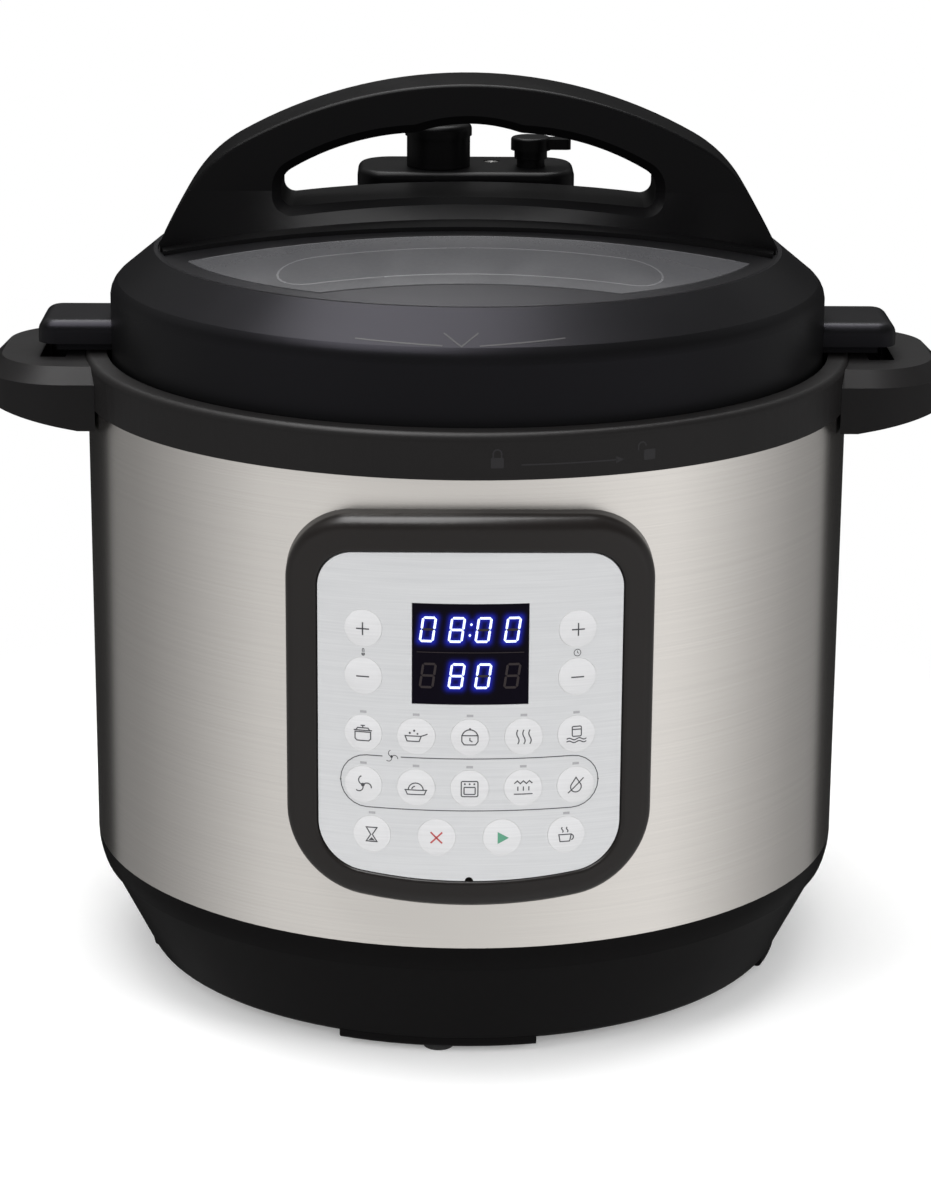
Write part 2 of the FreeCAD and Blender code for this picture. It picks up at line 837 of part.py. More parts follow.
def make_housing():
    body = new_body("housing_skin")
    section = new_sketch(body, "XZ_Plane")
    box_outline(section, skin_inner, z["skin_radius"], z["skin_bottom"], z["skin_top"])
    revolve(body, section)
    window = face_outline(new_sketch(body, "XZ_Plane"), 0)
    pocket(body, window, panel_reach, backwards=True)
    keep(body, "housing_skin")

    ring = new_body("upper_ring")
    trough_top = z["trough_floor"] + z["trough_wall"]
    lip_bottom = z["skin_top"] - z["lip_height"]
    lip_inner = skin_inner - z["lip_wall"]
    inner_back = z["ring_inner"] + z["ring_inner_wall"]
    collar_outer = z["collar_inner"] + z["trough_wall"]
    section = [
        (skin_inner, lip_bottom),
        (skin_inner, z["skin_top"]),
        (z["ring_radius"], z["skin_top"]),
        (z["ring_radius"], z["ring_top"]),
        (z["ring_inner"], z["ring_top"]),
        (z["ring_inner"], trough_top),
        (collar_outer, trough_top),
        (collar_outer, flange_underside),
        (z["collar_inner"], flange_underside),
        (z["collar_inner"], z["trough_floor"]),
        (inner_back, z["trough_floor"]),
        (inner_back, z["ring_top"] - z["ring_web"]),
        (lip_inner, z["ring_top"] - z["ring_web"]),
        (lip_inner, lip_bottom),
    ]
    revolve(ring, outline(new_sketch(ring, "XZ_Plane"), section))
    dress(
        ring, "Fillet",
        lambda edge: level(edge, z["ring_top"]) and edge.BoundBox.XMax > z["skin_radius"].value,
        Radius=z["ring_round"],
    )
    keep(ring, "upper_ring")


# Side handle: a slab with a rounded tip, a bevelled top and a rising underside. The slot holds the lid on edge.
def make_side_handles():
    body = new_body("right_handle")
    root_x = z["collar_inner"]
    plan = new_sketch(body, "XY_Plane", raised=z["handle_bottom"])
    box_outline(plan, root_x, z["handle_tip"], -z["handle_half_depth"], z["handle_half_depth"])
    pad(body, plan, z["handle_top"] - z["handle_bottom"])
    dress(
        body, "Fillet",
        lambda edge: any(
            upright_at(edge, z["handle_tip"], y) for y in (z["handle_half_depth"], -z["handle_half_depth"])
        ),
        Radius=z["handle_corner"],
    )
    wedge = new_sketch(body, "XZ_Plane")
    outline(wedge, [
        (z["ring_radius"], z["handle_bottom"]),
        (z["handle_tip"] + z["handle_rise"], z["handle_bottom"]),
        (z["handle_tip"] + z["handle_rise"], z["handle_bottom"] + z["handle_rise"]),
    ])
    pocket(body, wedge, z["handle_half_depth"] * 3, both_ways=True)
    dress(
        body, "Chamfer",
        lambda edge: level(edge, z["handle_top"]) and edge.BoundBox.XMax > root_x.value + 0.01,
        Size=z["handle_bevel"],
    )
    bore = new_sketch(body, "XZ_Plane")
    box_outline(bore, as_size(0), z["ring_radius"], z["handle_bottom"] - 1, z["handle_top"] + 1)
    groove(body, bore)
    slot = new_sketch(body, "XY_Plane", raised=z["handle_top"])
    box_outline(
        slot, z["slot_near"], z["slot_near"] + z["slot_width"], -z["slot_length"] / 2, z["slot_length"] / 2
    )
    pocket(body, slot, z["slot_depth"])
    keep(body, "right_handle")
    mirror = doc.addObject("Part::Mirroring", "left_handle")
    mirror.Source = body
    mirror.Normal = Vector(1, 0, 0)
    keep(mirror, "left_handle")


# Steel pots, heater and the parts under them.
def make_pots():
    body = new_body("outer_pot")
    pot_outer = z["pot_bore"] + z["pot_wall"]
    section = [
        (z["sensor_hole"], z["pot_underside"]),
        (pot_outer, z["pot_underside"]),
        (pot_outer, flange_underside),
        (z["flange_radius"], flange_underside),
        (z["flange_radius"], z["flange_top"]),
        (z["pot_bore"], z["flange_top"]),
        (z["pot_bore"], pot_floor),
        (z["sensor_hole"], pot_floor),
    ]
    revolve(body, outline(new_sketch(body, "XZ_Plane"), section))
    tab = new_sketch(body, "XZ_Plane")
    box_outline(tab, z["flange_radius"] - z["pot_wall"], z["tab_radius"], flange_underside, z["flange_top"])
    around(body, revolve(body, tab, z["tab_sweep"]), z["tab_count"])
    keep(body, "outer_pot")

    inside = z["inner_pot_radius"] - z["inner_pot_wall"]
    floor = plate_top + z["inner_pot_wall"]
    corner = z["inner_pot_radius"] - z["inner_pot_corner"]
    corner_top = plate_top + z["inner_pot_corner"]
    rim_top = z["flange_top"] + z["inner_pot_wall"]
    turned_piece("inner_pot", [
        (0, plate_top),
        (corner, plate_top, z["inner_pot_corner"], 1),
        (z["inner_pot_radius"], corner_top),
        (z["inner_pot_radius"], z["flange_top"]),
        (z["inner_pot_rim"], z["flange_top"]),
        (z["inner_pot_rim"], rim_top),
        (inside, rim_top),
        (inside, corner_top, z["inner_pot_corner"] - z["inner_pot_wall"], -1),
        (corner, floor),
        (0, floor),
    ])

    hole = z["sensor_radius"] + z["clearance"]
    plate_bottom = pot_floor + z["plate_foot"]
    turned_piece("heating_plate", [
        (hole, plate_bottom),
        (z["plate_foot_inner"], plate_bottom),
        (z["plate_foot_inner"], pot_floor),
        (z["plate_foot_outer"], pot_floor),
        (z["plate_foot_outer"], plate_bottom),
        (z["plate_radius"], plate_bottom),
        (z["plate_radius"], plate_top),
        (hole, plate_top),
    ])

    sensor_top = plate_top - z["clearance"]
    head_bottom = sensor_top - z["sensor_head"]
    turned_piece("sensor_cap", [
        (0, head_bottom - z["sensor_stem"]),
        (z["sensor_stem_radius"], head_bottom - z["sensor_stem"]),
        (z["sensor_stem_radius"], head_bottom),
        (z["sensor_radius"], head_bottom),
        (z["sensor_radius"], sensor_top - z["foot_round"]),
        (z["sensor_radius"] - z["foot_round"], sensor_top),
        (0, sensor_top),
    ])

    shield_inner = z["shield_radius"] - z["shield_wall"]
    turned_piece("heat_shield", [
        (0, z["shield_height"]),
        (z["shield_radius"], z["shield_height"]),
        (z["shield_radius"], z["shield_height"] + z["shield_rim"]),
        (shield_inner, z["shield_height"] + z["shield_rim"]),
        (shield_inner, z["shield_height"] + z["shield_wall"]),
        (0, z["shield_height"] + z["shield_wall"]),
    ])


# Power board with its transformer, relay and capacitor, and the two safety parts under the outer pot.
def make_electrics():
    body = new_body("power_board")
    plan = new_sketch(body, "XY_Plane", raised=z["board_height"])
    half_width = z["board_width"] / 2
    near_edge = z["board_centre"] - z["board_depth"] / 2
    far_edge = z["board_centre"] + z["board_depth"] / 2
    box_outline(plan, -half_width, half_width, near_edge, far_edge)
    pad(body, plan, z["board_thickness"])
    room = z["shield_height"] - z["board_height"] - z["board_thickness"]
    part_bottom = z["board_height"] + z["board_thickness"] / 2
    step = z["board_width"] / 6
    blocks = new_sketch(body, "XY_Plane", raised=part_bottom)
    box_outline(blocks, -step * 2, -step / 2, z["board_centre"] - step, z["board_centre"] + step / 2)
    box_outline(blocks, step / 2, step * 2, z["board_centre"], z["board_centre"] + step)
    circle(blocks, step, z["board_centre"] - step, step / 3)
    pad(body, blocks, room * 3 / 4)
    keep(body, "power_board")

    reach = z["plate_radius"] / 2
    switch = primitive(
        "Box", "pressure_switch", (reach, z["board_centre"], z["pot_underside"] - z["switch_height"]),
        Length=z["switch_height"] * 2, Width=z["switch_height"], Height=z["switch_height"],
    )
    keep(switch, "pressure_switch")
    fuse_piece = primitive(
        "Cylinder", "thermal_fuse", (-reach, z["board_centre"], z["pot_underside"] - z["fuse_radius"]),
        turn=Rotation(Vector(1, 0, 0), -90), Radius=z["fuse_radius"], Height=z["fuse_length"],
    )
    keep(fuse_piece, "thermal_fuse")


# Rear power inlet with a recessed socket and three blades.
def make_inlet():
    body = new_body("power_inlet")
    top = z["inlet_bottom"] + z["inlet_height"]
    front = new_sketch(body, "XZ_Plane", raised=-z["inlet_back"])
    box_outline(front, -z["inlet_half_width"], z["inlet_half_width"], z["inlet_bottom"], top)
    pad(body, front, z["inlet_face"] - z["inlet_back"], backwards=True)
    centre = z["inlet_bottom"] + z["inlet_height"] / 2
    low = centre - z["socket_height"] / 2
    high = centre + z["socket_height"] / 2
    half = z["socket_half_width"]
    cavity = new_sketch(body, "XZ_Plane", raised=-z["inlet_face"])
    outline(cavity, [
        (-half, low),
        (half, low),
        (half, high - z["socket_cut"]),
        (half - z["socket_cut"], high),
        (z["socket_cut"] - half, high),
        (-half, high - z["socket_cut"]),
    ])
    pocket(body, cavity, z["socket_depth"], backwards=True)
    keep(body, "power_inlet")
    back_wall = z["inlet_face"] - z["socket_depth"]
    pins = []
    for x, height in (
        (-z["pin_spread"], centre - z["pin_offset"]),
        (z["pin_spread"], centre - z["pin_offset"]),
        (as_size(0), centre + z["pin_offset"]),
    ):
        corner = (x - z["pin_thickness"] / 2, back_wall, height - z["pin_height"] / 2)
        pins.append(primitive(
            "Box", "pin", corner,
            Length=z["pin_thickness"], Width=z["pin_length"], Height=z["pin_height"],
        ))
    keep(group("inlet_pins", pins), "inlet_pins")


# Condensation cup on its bracket at the back. Its face stands as far back as the keys stand forward.
def make_cup():
    bracket = new_body("cup_bracket")
    plate = new_sketch(bracket, "XZ_Plane")
    half = z["bracket_half_width"]
    box_outline(plate, -half, half, z["bracket_bottom"], z["bracket_top"])
    pad(bracket, plate, z["bracket_face"], backwards=True)
    trim_round(bracket, as_size(0), z["skin_radius"])
    keep(bracket, "cup_bracket")
    cup = new_body("condensation_cup")
    near_face = z["bracket_face"] + z["clearance"]
    far_face = z["face_radius"] + z["key_dome"]
    plan = new_sketch(cup, "XY_Plane", raised=z["cup_bottom"])
    box_outline(plan, -z["cup_half_width"], z["cup_half_width"], near_face, far_face)
    pad(cup, plan, z["cup_top"] - z["cup_bottom"])
    dress(
        cup, "Fillet",
        lambda edge: any(upright_at(edge, x, far_face) for x in (z["cup_half_width"], -z["cup_half_width"])),
        Radius=z["cup_corner"],
    )
    inside = new_sketch(cup, "XY_Plane", raised=z["cup_top"])
    wall = z["cup_wall"]
    half = z["cup_half_width"] - z["cup_corner"]
    box_outline(inside, -half, half, near_face + wall, far_face - wall)
    pocket(cup, inside, z["cup_top"] - z["cup_bottom"] - wall)
    keep(cup, "condensation_cup")


# A flat-sided curved plate cut to an outline, between two radii, at the front of the housing.
def curved_plate(name, draw, inner, outer):
    body = new_body(name)
    pad(body, draw(new_sketch(body, "XZ_Plane")), panel_reach)
    trim_round(body, outer, panel_reach * 2)
    trim_round(body, as_size(0), inner)
    return body


def window_outline(sketch, margin):
    half = z["window_half_width"] + margin
    reach = z["window_height"] / 2 + margin
    return box_outline(sketch, -half, half, z["window_centre"] - reach, z["window_centre"] + reach)


# Every key: its name, its turn about the upright axis and its height.
def key_places():
    step = z["key_turn"].value
    low = z["key_turn_low"].value
    outer = 2 * step
    rows = [
        (z["row_plus"], [(-outer, "temp_up"), (outer, "time_up")]),
        (z["row_minus"], [(-outer, "temp_down"), (outer, "time_down")]),
        (z["row_upper"], [
            (-outer, "pressure_cook"), (-step, "saute"), (0, "slow_cook"), (step, "steam"), (outer, "sous_vide"),
        ]),
        (z["row_middle"], [
            (-outer, "air_fry"), (-step, "roast"), (0, "bake"), (step, "broil"), (outer, "dehydrate"),
        ]),
        (z["row_lower"], [
            (-1.5 * low, "delay_start"), (-0.5 * low, "cancel"), (0.5 * low, "start"), (1.5 * low, "keep_warm"),
        ]),
    ]
    return [(f"{name}_key", turn, height) for height, keys in rows for turn, name in keys]


def radial_cylinder(name, turn, height, near_radius, length, radius):
    spin = Rotation(Vector(0, 0, 1), turn).multiply(Rotation(Vector(1, 0, 0), 90))
    angle = math.radians(turn)
    base = (near_radius * math.sin(angle), -near_radius * math.cos(angle), height)
    return primitive("Cylinder", name, base, turn=spin, Radius=radius, Height=length)


def make_panel():
    bezel = new_body("panel_bezel")
    pad(bezel, bezel_outline(new_sketch(bezel, "XZ_Plane")), panel_reach)
    trim_round(bezel, face_back, panel_reach * 2)
    band = bezel_outline(new_sketch(bezel, "XZ_Plane"))
    face_outline(band, z["panel_gap"])
    pad(bezel, band, panel_reach)
    trim_round(bezel, z["bezel_radius"], panel_reach * 2)
    trim_round(bezel, as_size(0), z["skin_radius"])
    opening = face_outline(new_sketch(bezel, "XZ_Plane"), -z["ledge_width"])
    pocket(bezel, opening, panel_reach, backwards=True)
    for is_outer, size in ((True, z["bezel_round"]), (False, z["bezel_inner_round"])):
        dress(bezel, "Fillet", lambda edge: bezel_edge(edge, is_outer), Radius=size)
    keep(bezel, "panel_bezel")

    plate = curved_plate(
        "faceplate_blank", lambda sketch: window_outline(face_outline(sketch, 0), z["panel_gap"]),
        face_back, z["face_radius"],
    )
    holes = []
    depth = z["face_thickness"] * 3
    for name, turn, height in key_places():
        radius = z["key_radius"] + z["clearance"]
        holes.append(radial_cylinder("key_hole", turn, height, face_back - z["face_thickness"], depth, radius))
    inner_side = face_back - z["face_thickness"]
    holes.append(radial_cylinder("edge_notch", 0, z["face_bottom"], inner_side, depth, z["face_notch"]))
    keep(cut("faceplate", plate, fuse("key_holes", holes)), "faceplate")

    window = curved_plate(
        "display_window", lambda sketch: window_outline(sketch, as_size(0)), face_back, z["face_radius"]
    )
    keep(window, "display_window")
    module = curved_plate(
        "display_module", lambda sketch: window_outline(sketch, -z["module_margin"]),
        z["module_back"], face_back - z["clearance"],
    )
    keep(module, "display_module")
    switch_sheet = curved_plate(
        "switch_sheet",
        lambda sketch: window_outline(
            face_outline(sketch, -z["ledge_width"] - z["clearance"]), z["clearance"] - z["module_margin"]
        ),
        z["sheet_radius"] - z["sheet_thickness"], z["sheet_radius"],
    )
    keep(switch_sheet, "switch_sheet")
    snaps = []
    seat = z["sheet_radius"] + z["panel_gap"]
    for name, turn, height in key_places():
        snaps.append(radial_cylinder("snap", turn, height, seat, z["snap_height"], z["snap_radius"]))
    keep(group("snap_domes", snaps), "snap_domes")


# An edge of the bezel's crest: the outer loop runs outside the faceplate's half width or ends.
def bezel_edge(edge, is_outer):
    on_crest = all(
        near(math.hypot(point.x, point.y), z["bezel_radius"].value)
        for point in edge.discretize(5)
    )
    middle = edge.discretize(3)[1]
    half = z["face_half_width"].value + z["panel_gap"].value + 0.5
    low = z["face_bottom"].value - z["panel_gap"].value - 0.5
    high = z["face_top"].value + z["panel_gap"].value + 0.5
    inside = abs(middle.x) < half and low < middle.z < high
    return on_crest and inside != is_outer


# A domed key with a flange behind the faceplate, pressed along its own radius.
def make_keys():
    flange_front = face_back - z["clearance"] * 2
    flange_back = flange_front - z["key_flange_thickness"]
    rim = z["face_radius"] + z["panel_gap"] / 3
    crest = z["face_radius"] + z["key_dome"]
    rise = crest - rim
    reach = z["key_radius"] - z["apex_flat"]
    dome = (reach * reach + rise * rise) / (rise * 2)
    for name, turn, height in key_places():
        body = new_body(name)
        sketch = new_sketch(body, "XY_Plane")
        outline(sketch, [
            (0, -flange_back),
            (z["key_flange"], -flange_back),
            (z["key_flange"], -flange_front),
            (z["key_radius"], -flange_front),
            (z["key_radius"], -rim, dome, -1),
            (z["apex_flat"], -crest),
            (0, -crest),
        ])
        revolve(body, sketch)
        body.Placement = Placement(Vector(0, 0, height.value), Rotation(Vector(0, 0, 1), turn))
        body.setExpression("Placement.Base.z", height.text)
        keep(body, name)


# The height of the lid's dome at a radius, and a solid that fills the space under a shell over it.
def dome_height(radius, lift):
    bow = z["dome_bow"] + lift
    return z["dome_top"] + lift - bow + root(bow * bow - radius * radius)


def dome_solid(name, radius, lift, depth=None):
    body = new_body(name)
    if depth is None:
        low = [(0, z["lid_side_top"]), (radius, z["lid_side_top"])]
    else:
        drop = lift - depth
        low = [
            (0, dome_height(z["apex_flat"], drop)),
            (z["apex_flat"], dome_height(z["apex_flat"], drop), z["dome_bow"] + drop, -1),
            (radius, dome_height(radius, drop)),
        ]
    top = [
        (radius, dome_height(radius, lift), z["dome_bow"] + lift, 1),
        (z["apex_flat"], dome_height(z["apex_flat"], lift)),
        (0, dome_height(z["apex_flat"], lift)),
    ]
    revolve(body, outline(new_sketch(body, "XZ_Plane"), low + top))
    return body


# An upright prism through the lid's top, for cutting a piece of the dome to a plan.
def plan_prism(name, corners):
    body = new_body(name)
    plan = outline(new_sketch(body, "XY_Plane", raised=z["lid_side_top"]), corners)
    pad(body, plan, z["arch_top"] - z["lid_side_top"])
    return body


# How far a bow that stands out by a reach in its middle stands out at a place along it.
def bow_reach(reach, bow, place):
    return reach - bow + root(bow * bow - place * place)


def crescent_prism(name, margin):
    half = z["lid_radius"]
    front = z["crescent_front"] + margin
    bow = z["crescent_bow"] - margin
    back = bow_reach(z["crescent_back"] - margin, bow, half)
    return plan_prism(name, [(-half, -front), (half, -front), (half, -back, bow, -1), (-half, -back)])


# Lid cover: upright side, sloped shoulder and shallow dome, with two fins and a boss for the liner.
def make_lid_cover():
    body = new_body("lid_cover_blank")
    lid_inner = z["lid_radius"] - z["lid_wall"]
    step_radius = z["lid_edge_radius"] - z["lid_edge_width"]
    dome_edge = dome_height(step_radius, as_size(0))
    inner_edge = dome_height(z["dome_inner_radius"], -z["dome_wall"])
    boss_top = dome_height(z["boss_radius"], -z["dome_wall"])
    section = [
        (z["lid_radius"], z["lid_bottom"]),
        (z["lid_radius"], z["lid_side_top"], z["lid_shoulder_bow"], 1),
        (z["lid_shoulder_radius"], z["lid_shoulder_height"]),
        (z["lid_edge_radius"], z["lid_edge_height"]),
        (step_radius, z["lid_edge_height"]),
        (step_radius, dome_edge, z["dome_bow"], 1),
        (z["apex_flat"], dome_height(z["apex_flat"], as_size(0))),
        (0, dome_height(z["apex_flat"], as_size(0))),
        (0, z["liner_top"]),
        (z["boss_radius"], z["liner_top"]),
        (z["boss_radius"], boss_top, z["dome_bow"] - z["dome_wall"], -1),
        (z["dome_inner_radius"], inner_edge),
        (lid_inner, z["lid_side_top"] - z["lid_wall"]),
        (lid_inner, z["lid_bottom"]),
    ]
    revolve(body, outline(new_sketch(body, "XZ_Plane"), section))
    fin_root = z["lid_radius"] - z["lid_wall"] * 0.85
    fin_tip = z["fin_reach"] - z["fin_corner"]
    for side in (1, -1):
        fin = new_sketch(body, "XY_Plane", raised=z["fin_bottom"])
        edges = sorted((fin_root * side, z["fin_reach"] * side), key=lambda size: size.value)
        box_outline(fin, edges[0], edges[1], -z["fin_half_depth"], z["fin_half_depth"])
        pad(body, fin, z["fin_top"] - z["fin_bottom"])
        neck = new_sketch(body, "XY_Plane", raised=z["fin_neck_bottom"])
        edges = sorted((fin_root * side, z["fin_neck_reach"] * side), key=lambda size: size.value)
        box_outline(neck, edges[0], edges[1], -z["fin_neck_half_depth"], z["fin_neck_half_depth"])
        pad(body, neck, z["fin_bottom"] - z["fin_neck_bottom"])
    dress(
        body, "Fillet",
        lambda edge: any(upright_at(edge, z["fin_reach"] * side, z["fin_half_depth"] * end)
                         for side in (1, -1) for end in (1, -1)),
        Radius=z["fin_corner"],
    )
    dress(
        body, "Fillet",
        lambda edge: level(edge, z["fin_top"]) and max(abs(edge.BoundBox.XMin), edge.BoundBox.XMax) > fin_tip.value,
        Radius=z["fin_round"],
    )
    steam_holes(body, with_stem=False)
    blank = dome_solid("crescent_recess", z["crescent_radius"] + z["panel_gap"], z["crescent_proud"] * 2,
                       z["crescent_depth"] + z["crescent_proud"] * 2)
    recess = common("panel_recess", blank, crescent_prism("recess_plan", z["panel_gap"]))
    keep(cut("lid_cover", body, recess), "lid_cover")
    insert = dome_solid("crescent_slab", z["crescent_radius"], z["crescent_proud"],
                        z["crescent_depth"] + z["crescent_proud"])
    keep(common("lid_panel", insert, crescent_prism("panel_plan", as_size(0))), "lid_panel")


# Upright holes for the exhaust pipe, the float and, in the platform, the release stem.
def steam_holes(body, with_stem):
    holes = new_sketch(body, "XY_Plane", raised=z["arch_top"])
    circle(holes, z["valve_x"], z["valve_y"], z["pipe_radius"] + z["panel_gap"])
    circle(holes, z["float_x"], z["float_y"], z["float_radius"] + z["clearance"])
    if with_stem:
        circle(holes, z["release_x"], z["release_y"], z["release_stem_radius"] + z["clearance"])
    pocket(body, holes, z["arch_top"] - z["flange_top"])


# Steel liner with bayonet lugs that turn in under the tabs of the outer pot, and what it carries.
def make_lid_inside():
    body = new_body("lid_liner")
    rim_top = z["liner_top"] - z["liner_rise"]
    wall = z["liner_wall"]
    slope_end = z["liner_inner"] + z["liner_slope"]
    skirt_inner = z["liner_radius"] - wall
    lug_top = flange_underside - z["stop_gap"]
    lug_bottom = lug_top - z["lug_thickness"]
    section = [
        (0, liner_underside),
        (z["liner_inner"] - wall, liner_underside),
        (slope_end - wall, rim_top - wall),
        (skirt_inner, rim_top - wall),
        (skirt_inner, lug_bottom),
        (z["liner_radius"], lug_bottom),
        (z["liner_radius"], rim_top),
        (slope_end, rim_top),
        (z["liner_inner"], z["liner_top"]),
        (0, z["liner_top"]),
    ]
    revolve(body, outline(new_sketch(body, "XZ_Plane"), section))
    lug = new_sketch(body, "XZ_Plane")
    box_outline(lug, z["lug_inner"], skirt_inner + wall / 2, lug_bottom, lug_top)
    around(body, revolve(body, lug, z["tab_sweep"]), z["tab_count"])
    steam_holes(body, with_stem=False)
    keep(body, "lid_liner")

    nut = primitive(
        "Prism", "lid_nut", (0, 0, liner_underside - z["nut_height"]),
        Circumradius=z["nut_radius"], Height=z["nut_height"],
    )
    nut.Polygon = 6
    keep(nut, "lid_nut")

    middle = (z["seal_bottom"] + z["seal_top"]) / 2
    half_groove = z["rack_wire"] + z["clearance"]
    groove_end = z["rack_radius"] + half_groove
    turned_piece("sealing_ring", [
        (z["seal_inner"], z["seal_bottom"]),
        (z["seal_outer"], z["seal_bottom"]),
        (z["seal_outer"], z["seal_top"]),
        (z["seal_inner"], z["seal_top"]),
        (z["seal_inner"], middle + half_groove),
        (groove_end, middle + half_groove),
        (groove_end, middle - half_groove),
        (z["seal_inner"], middle - half_groove),
    ])
    rack = primitive("Torus", "ring_rack", (0, 0, middle), Radius1=z["rack_radius"], Radius2=z["rack_wire"])
    keep(rack, "ring_rack")


# Lid handle: an arch of two mouldings that part at a level seam, standing on the dome.
def make_lid_handle():
    grip = new_body("handle_grip")
    steep = z["arch_shoulder"] / z["arch_bow"]
    level_part = root(1 - steep * steep)
    shoulder = z["arch_top"] - z["arch_bow"] * (1 - level_part)
    run = z["seam_reach"] - z["arch_shoulder"]
    side_bow, level_part, steep = tangent_bow(run, shoulder - z["seam_height"], level_part, steep)
    run = z["arch_foot"] - z["seam_reach"]
    foot_bow, level_part, steep = tangent_bow(run, z["seam_height"] - z["arch_foot_height"], level_part, steep)
    section = [
        (z["opening_half_width"], z["seam_height"]),
        (z["seam_reach"], z["seam_height"], *bend(side_bow)),
        (z["arch_shoulder"], shoulder, z["arch_bow"], 1),
        (-z["arch_shoulder"], shoulder, *bend(side_bow)),
        (-z["seam_reach"], z["seam_height"]),
        (-z["opening_half_width"], z["seam_height"]),
        (-z["opening_half_width"], z["opening_side"], z["opening_side_bow"], -1),
        (-z["finger_half_width"], z["finger_height"], z["finger_bow"], -1),
        (z["finger_half_width"], z["finger_height"], z["opening_side_bow"], -1),
        (z["opening_half_width"], z["opening_side"]),
    ]
    pad(grip, outline(new_sketch(grip, "XZ_Plane"), section), z["grip_half_depth"] * 2, both_ways=True)
    dress(
        grip, "Fillet",
        lambda edge: crosses_at(edge, z["opening_half_width"], z["opening_side"]),
        Radius=z["opening_corner"],
    )
    dress(grip, "Chamfer", lambda edge: grip_edge(edge, is_outer=False), Size=z["opening_bevel"])
    dress(grip, "Fillet", lambda edge: grip_edge(edge, is_outer=True), Radius=z["grip_round"])
    dress(grip, "Fillet", finger_tip, Radius=z["finger_round"])
    keep(grip, "handle_grip")

    front = new_body("handle_front")
    outline(new_sketch(front, "XZ_Plane"), [
        (-z["arch_foot"], z["lid_side_top"]),
        (z["arch_foot"], z["lid_side_top"]),
        (z["arch_foot"], z["arch_foot_height"], *bend(foot_bow)),
        (z["seam_reach"], z["seam_height"]),
        (z["opening_half_width"], z["seam_height"]),
        (z["opening_half_width"], z["opening_floor"], z["opening_floor_bow"], 1),
        (-z["opening_half_width"], z["opening_floor"]),
        (-z["opening_half_width"], z["seam_height"]),
        (-z["seam_reach"], z["seam_height"], *bend(foot_bow)),
        (-z["arch_foot"], z["arch_foot_height"]),
    ])
    pad(front, front.Group[-1], z["lid_radius"] * 2, both_ways=True)
    dress(
        front, "Fillet",
        lambda edge: crosses_at(edge, z["opening_half_width"], z["opening_floor"]),
        Radius=z["opening_floor_corner"],
    )
    within_rim = primitive(
        "Cylinder", "within_rim", (0, 0, z["lid_side_top"]),
        Radius=z["lid_edge_radius"] - z["lid_edge_width"] - z["panel_gap"],
        Height=z["arch_top"] - z["lid_side_top"],
    )
    blank = common("handle_blank", common("handle_crossing", make_foot(), front), within_rim)
    standing = cut("handle_standing", blank, dome_solid("dome_core", z["lid_edge_radius"], as_size(0)))
    doc.recompute()
    lips = [place for place, edge in enumerate(standing.Shape.Edges, start=1) if opening_lip(edge)]
    bevelled = doc.addObject("Part::Chamfer", "handle_bevelled")
    bevelled.Base = standing
    bevelled.Edges = [(place, z["opening_bevel"].value, z["opening_bevel"].value) for place in lips]
    slab = dome_solid("apron_slab", z["arch_foot"], z["apron_thickness"], z["apron_thickness"])
    half = z["arch_foot"] + z["foot_depth"]
    reach = bow_reach(z["foot_front"] + z["apron_width"], z["foot_bow"], half)
    back = bow_reach(z["foot_back"] - z["apron_thickness"] * 2, z["foot_back_bow"], half)
    plan = plan_prism("apron_plan", [
        (-half, -reach, z["foot_bow"], 1),
        (half, -reach),
        (half, back, z["foot_back_bow"], 1),
        (-half, back),
    ])
    keep(fuse("handle_base", [bevelled, common("apron", slab, plan)]), "handle_base")


# The radius of an arc that goes on from a slope without a kink, and the slope at its far end.
def tangent_bow(run, fall, level_part, steep):
    square = run * run + fall * fall
    bow = square / ((fall * level_part - run * steep) * 2)
    along = (run * level_part + fall * steep) * 2 / square
    return bow, run * along - level_part, fall * along - steep


# A tangent arc that has to bend inwards comes out with a negative radius, and turns the other way.
def bend(bow):
    return (bow, 1) if bow.value > 0 else (-bow, -1)


# An edge along the front or back face of the grip: round the outside of the arch, or round the opening.
def grip_edge(edge, is_outer):
    centre = z["arch_top"].value - z["arch_bow"].value
    inside = max(math.hypot(point.x, point.z - centre) for point in edge.discretize(5))
    on_face = near(abs(edge.CenterOfMass.y), z["grip_half_depth"].value)
    is_inside = inside < z["arch_bow"].value - z["opening_corner"].value
    return on_face and edge.BoundBox.ZMax > z["seam_height"].value + 0.01 and is_inside != is_outer


# An edge of the opening below the seam, along the front or back slope of the handle's foot.
def opening_lip(edge):
    return not level(edge, z["seam_height"]) and all(
        abs(point.x) < z["opening_half_width"].value + 0.01
        and abs(point.y) > z["grip_half_depth"].value - 0.01
        and z["opening_floor"].value - z["opening_floor_corner"].value < point.z < z["seam_height"].value + 0.01
        for point in edge.discretize(5)
    )


# An edge of the tip that the grip's underside comes to between two finger places, bevels included.
def finger_tip(edge):
    box = edge.BoundBox
    is_narrow = box.XLength < z["opening_bevel"].value / 2
    beside_tip = abs(abs(edge.CenterOfMass.x) - z["finger_half_width"].value) < z["opening_bevel"].value / 2
    return is_narrow and beside_tip and box.ZMax < z["arch_top"].value - z["opening_bevel"].value * 2


# The handle's foot, lofted along the handle: its slope runs out to a bow that is widest in the middle.
def make_foot():
    body = new_body("handle_foot")
    end = z["arch_foot"] + z["foot_depth"]
    sections = [foot_section(body, end * share) for share in (-1, -0.5, 0, 0.5, 1)]
    loft = body.newObject("PartDesign::AdditiveLoft", "foot_loft")
    loft.Profile = sections[0]
    loft.Sections = sections[1:]
    return body


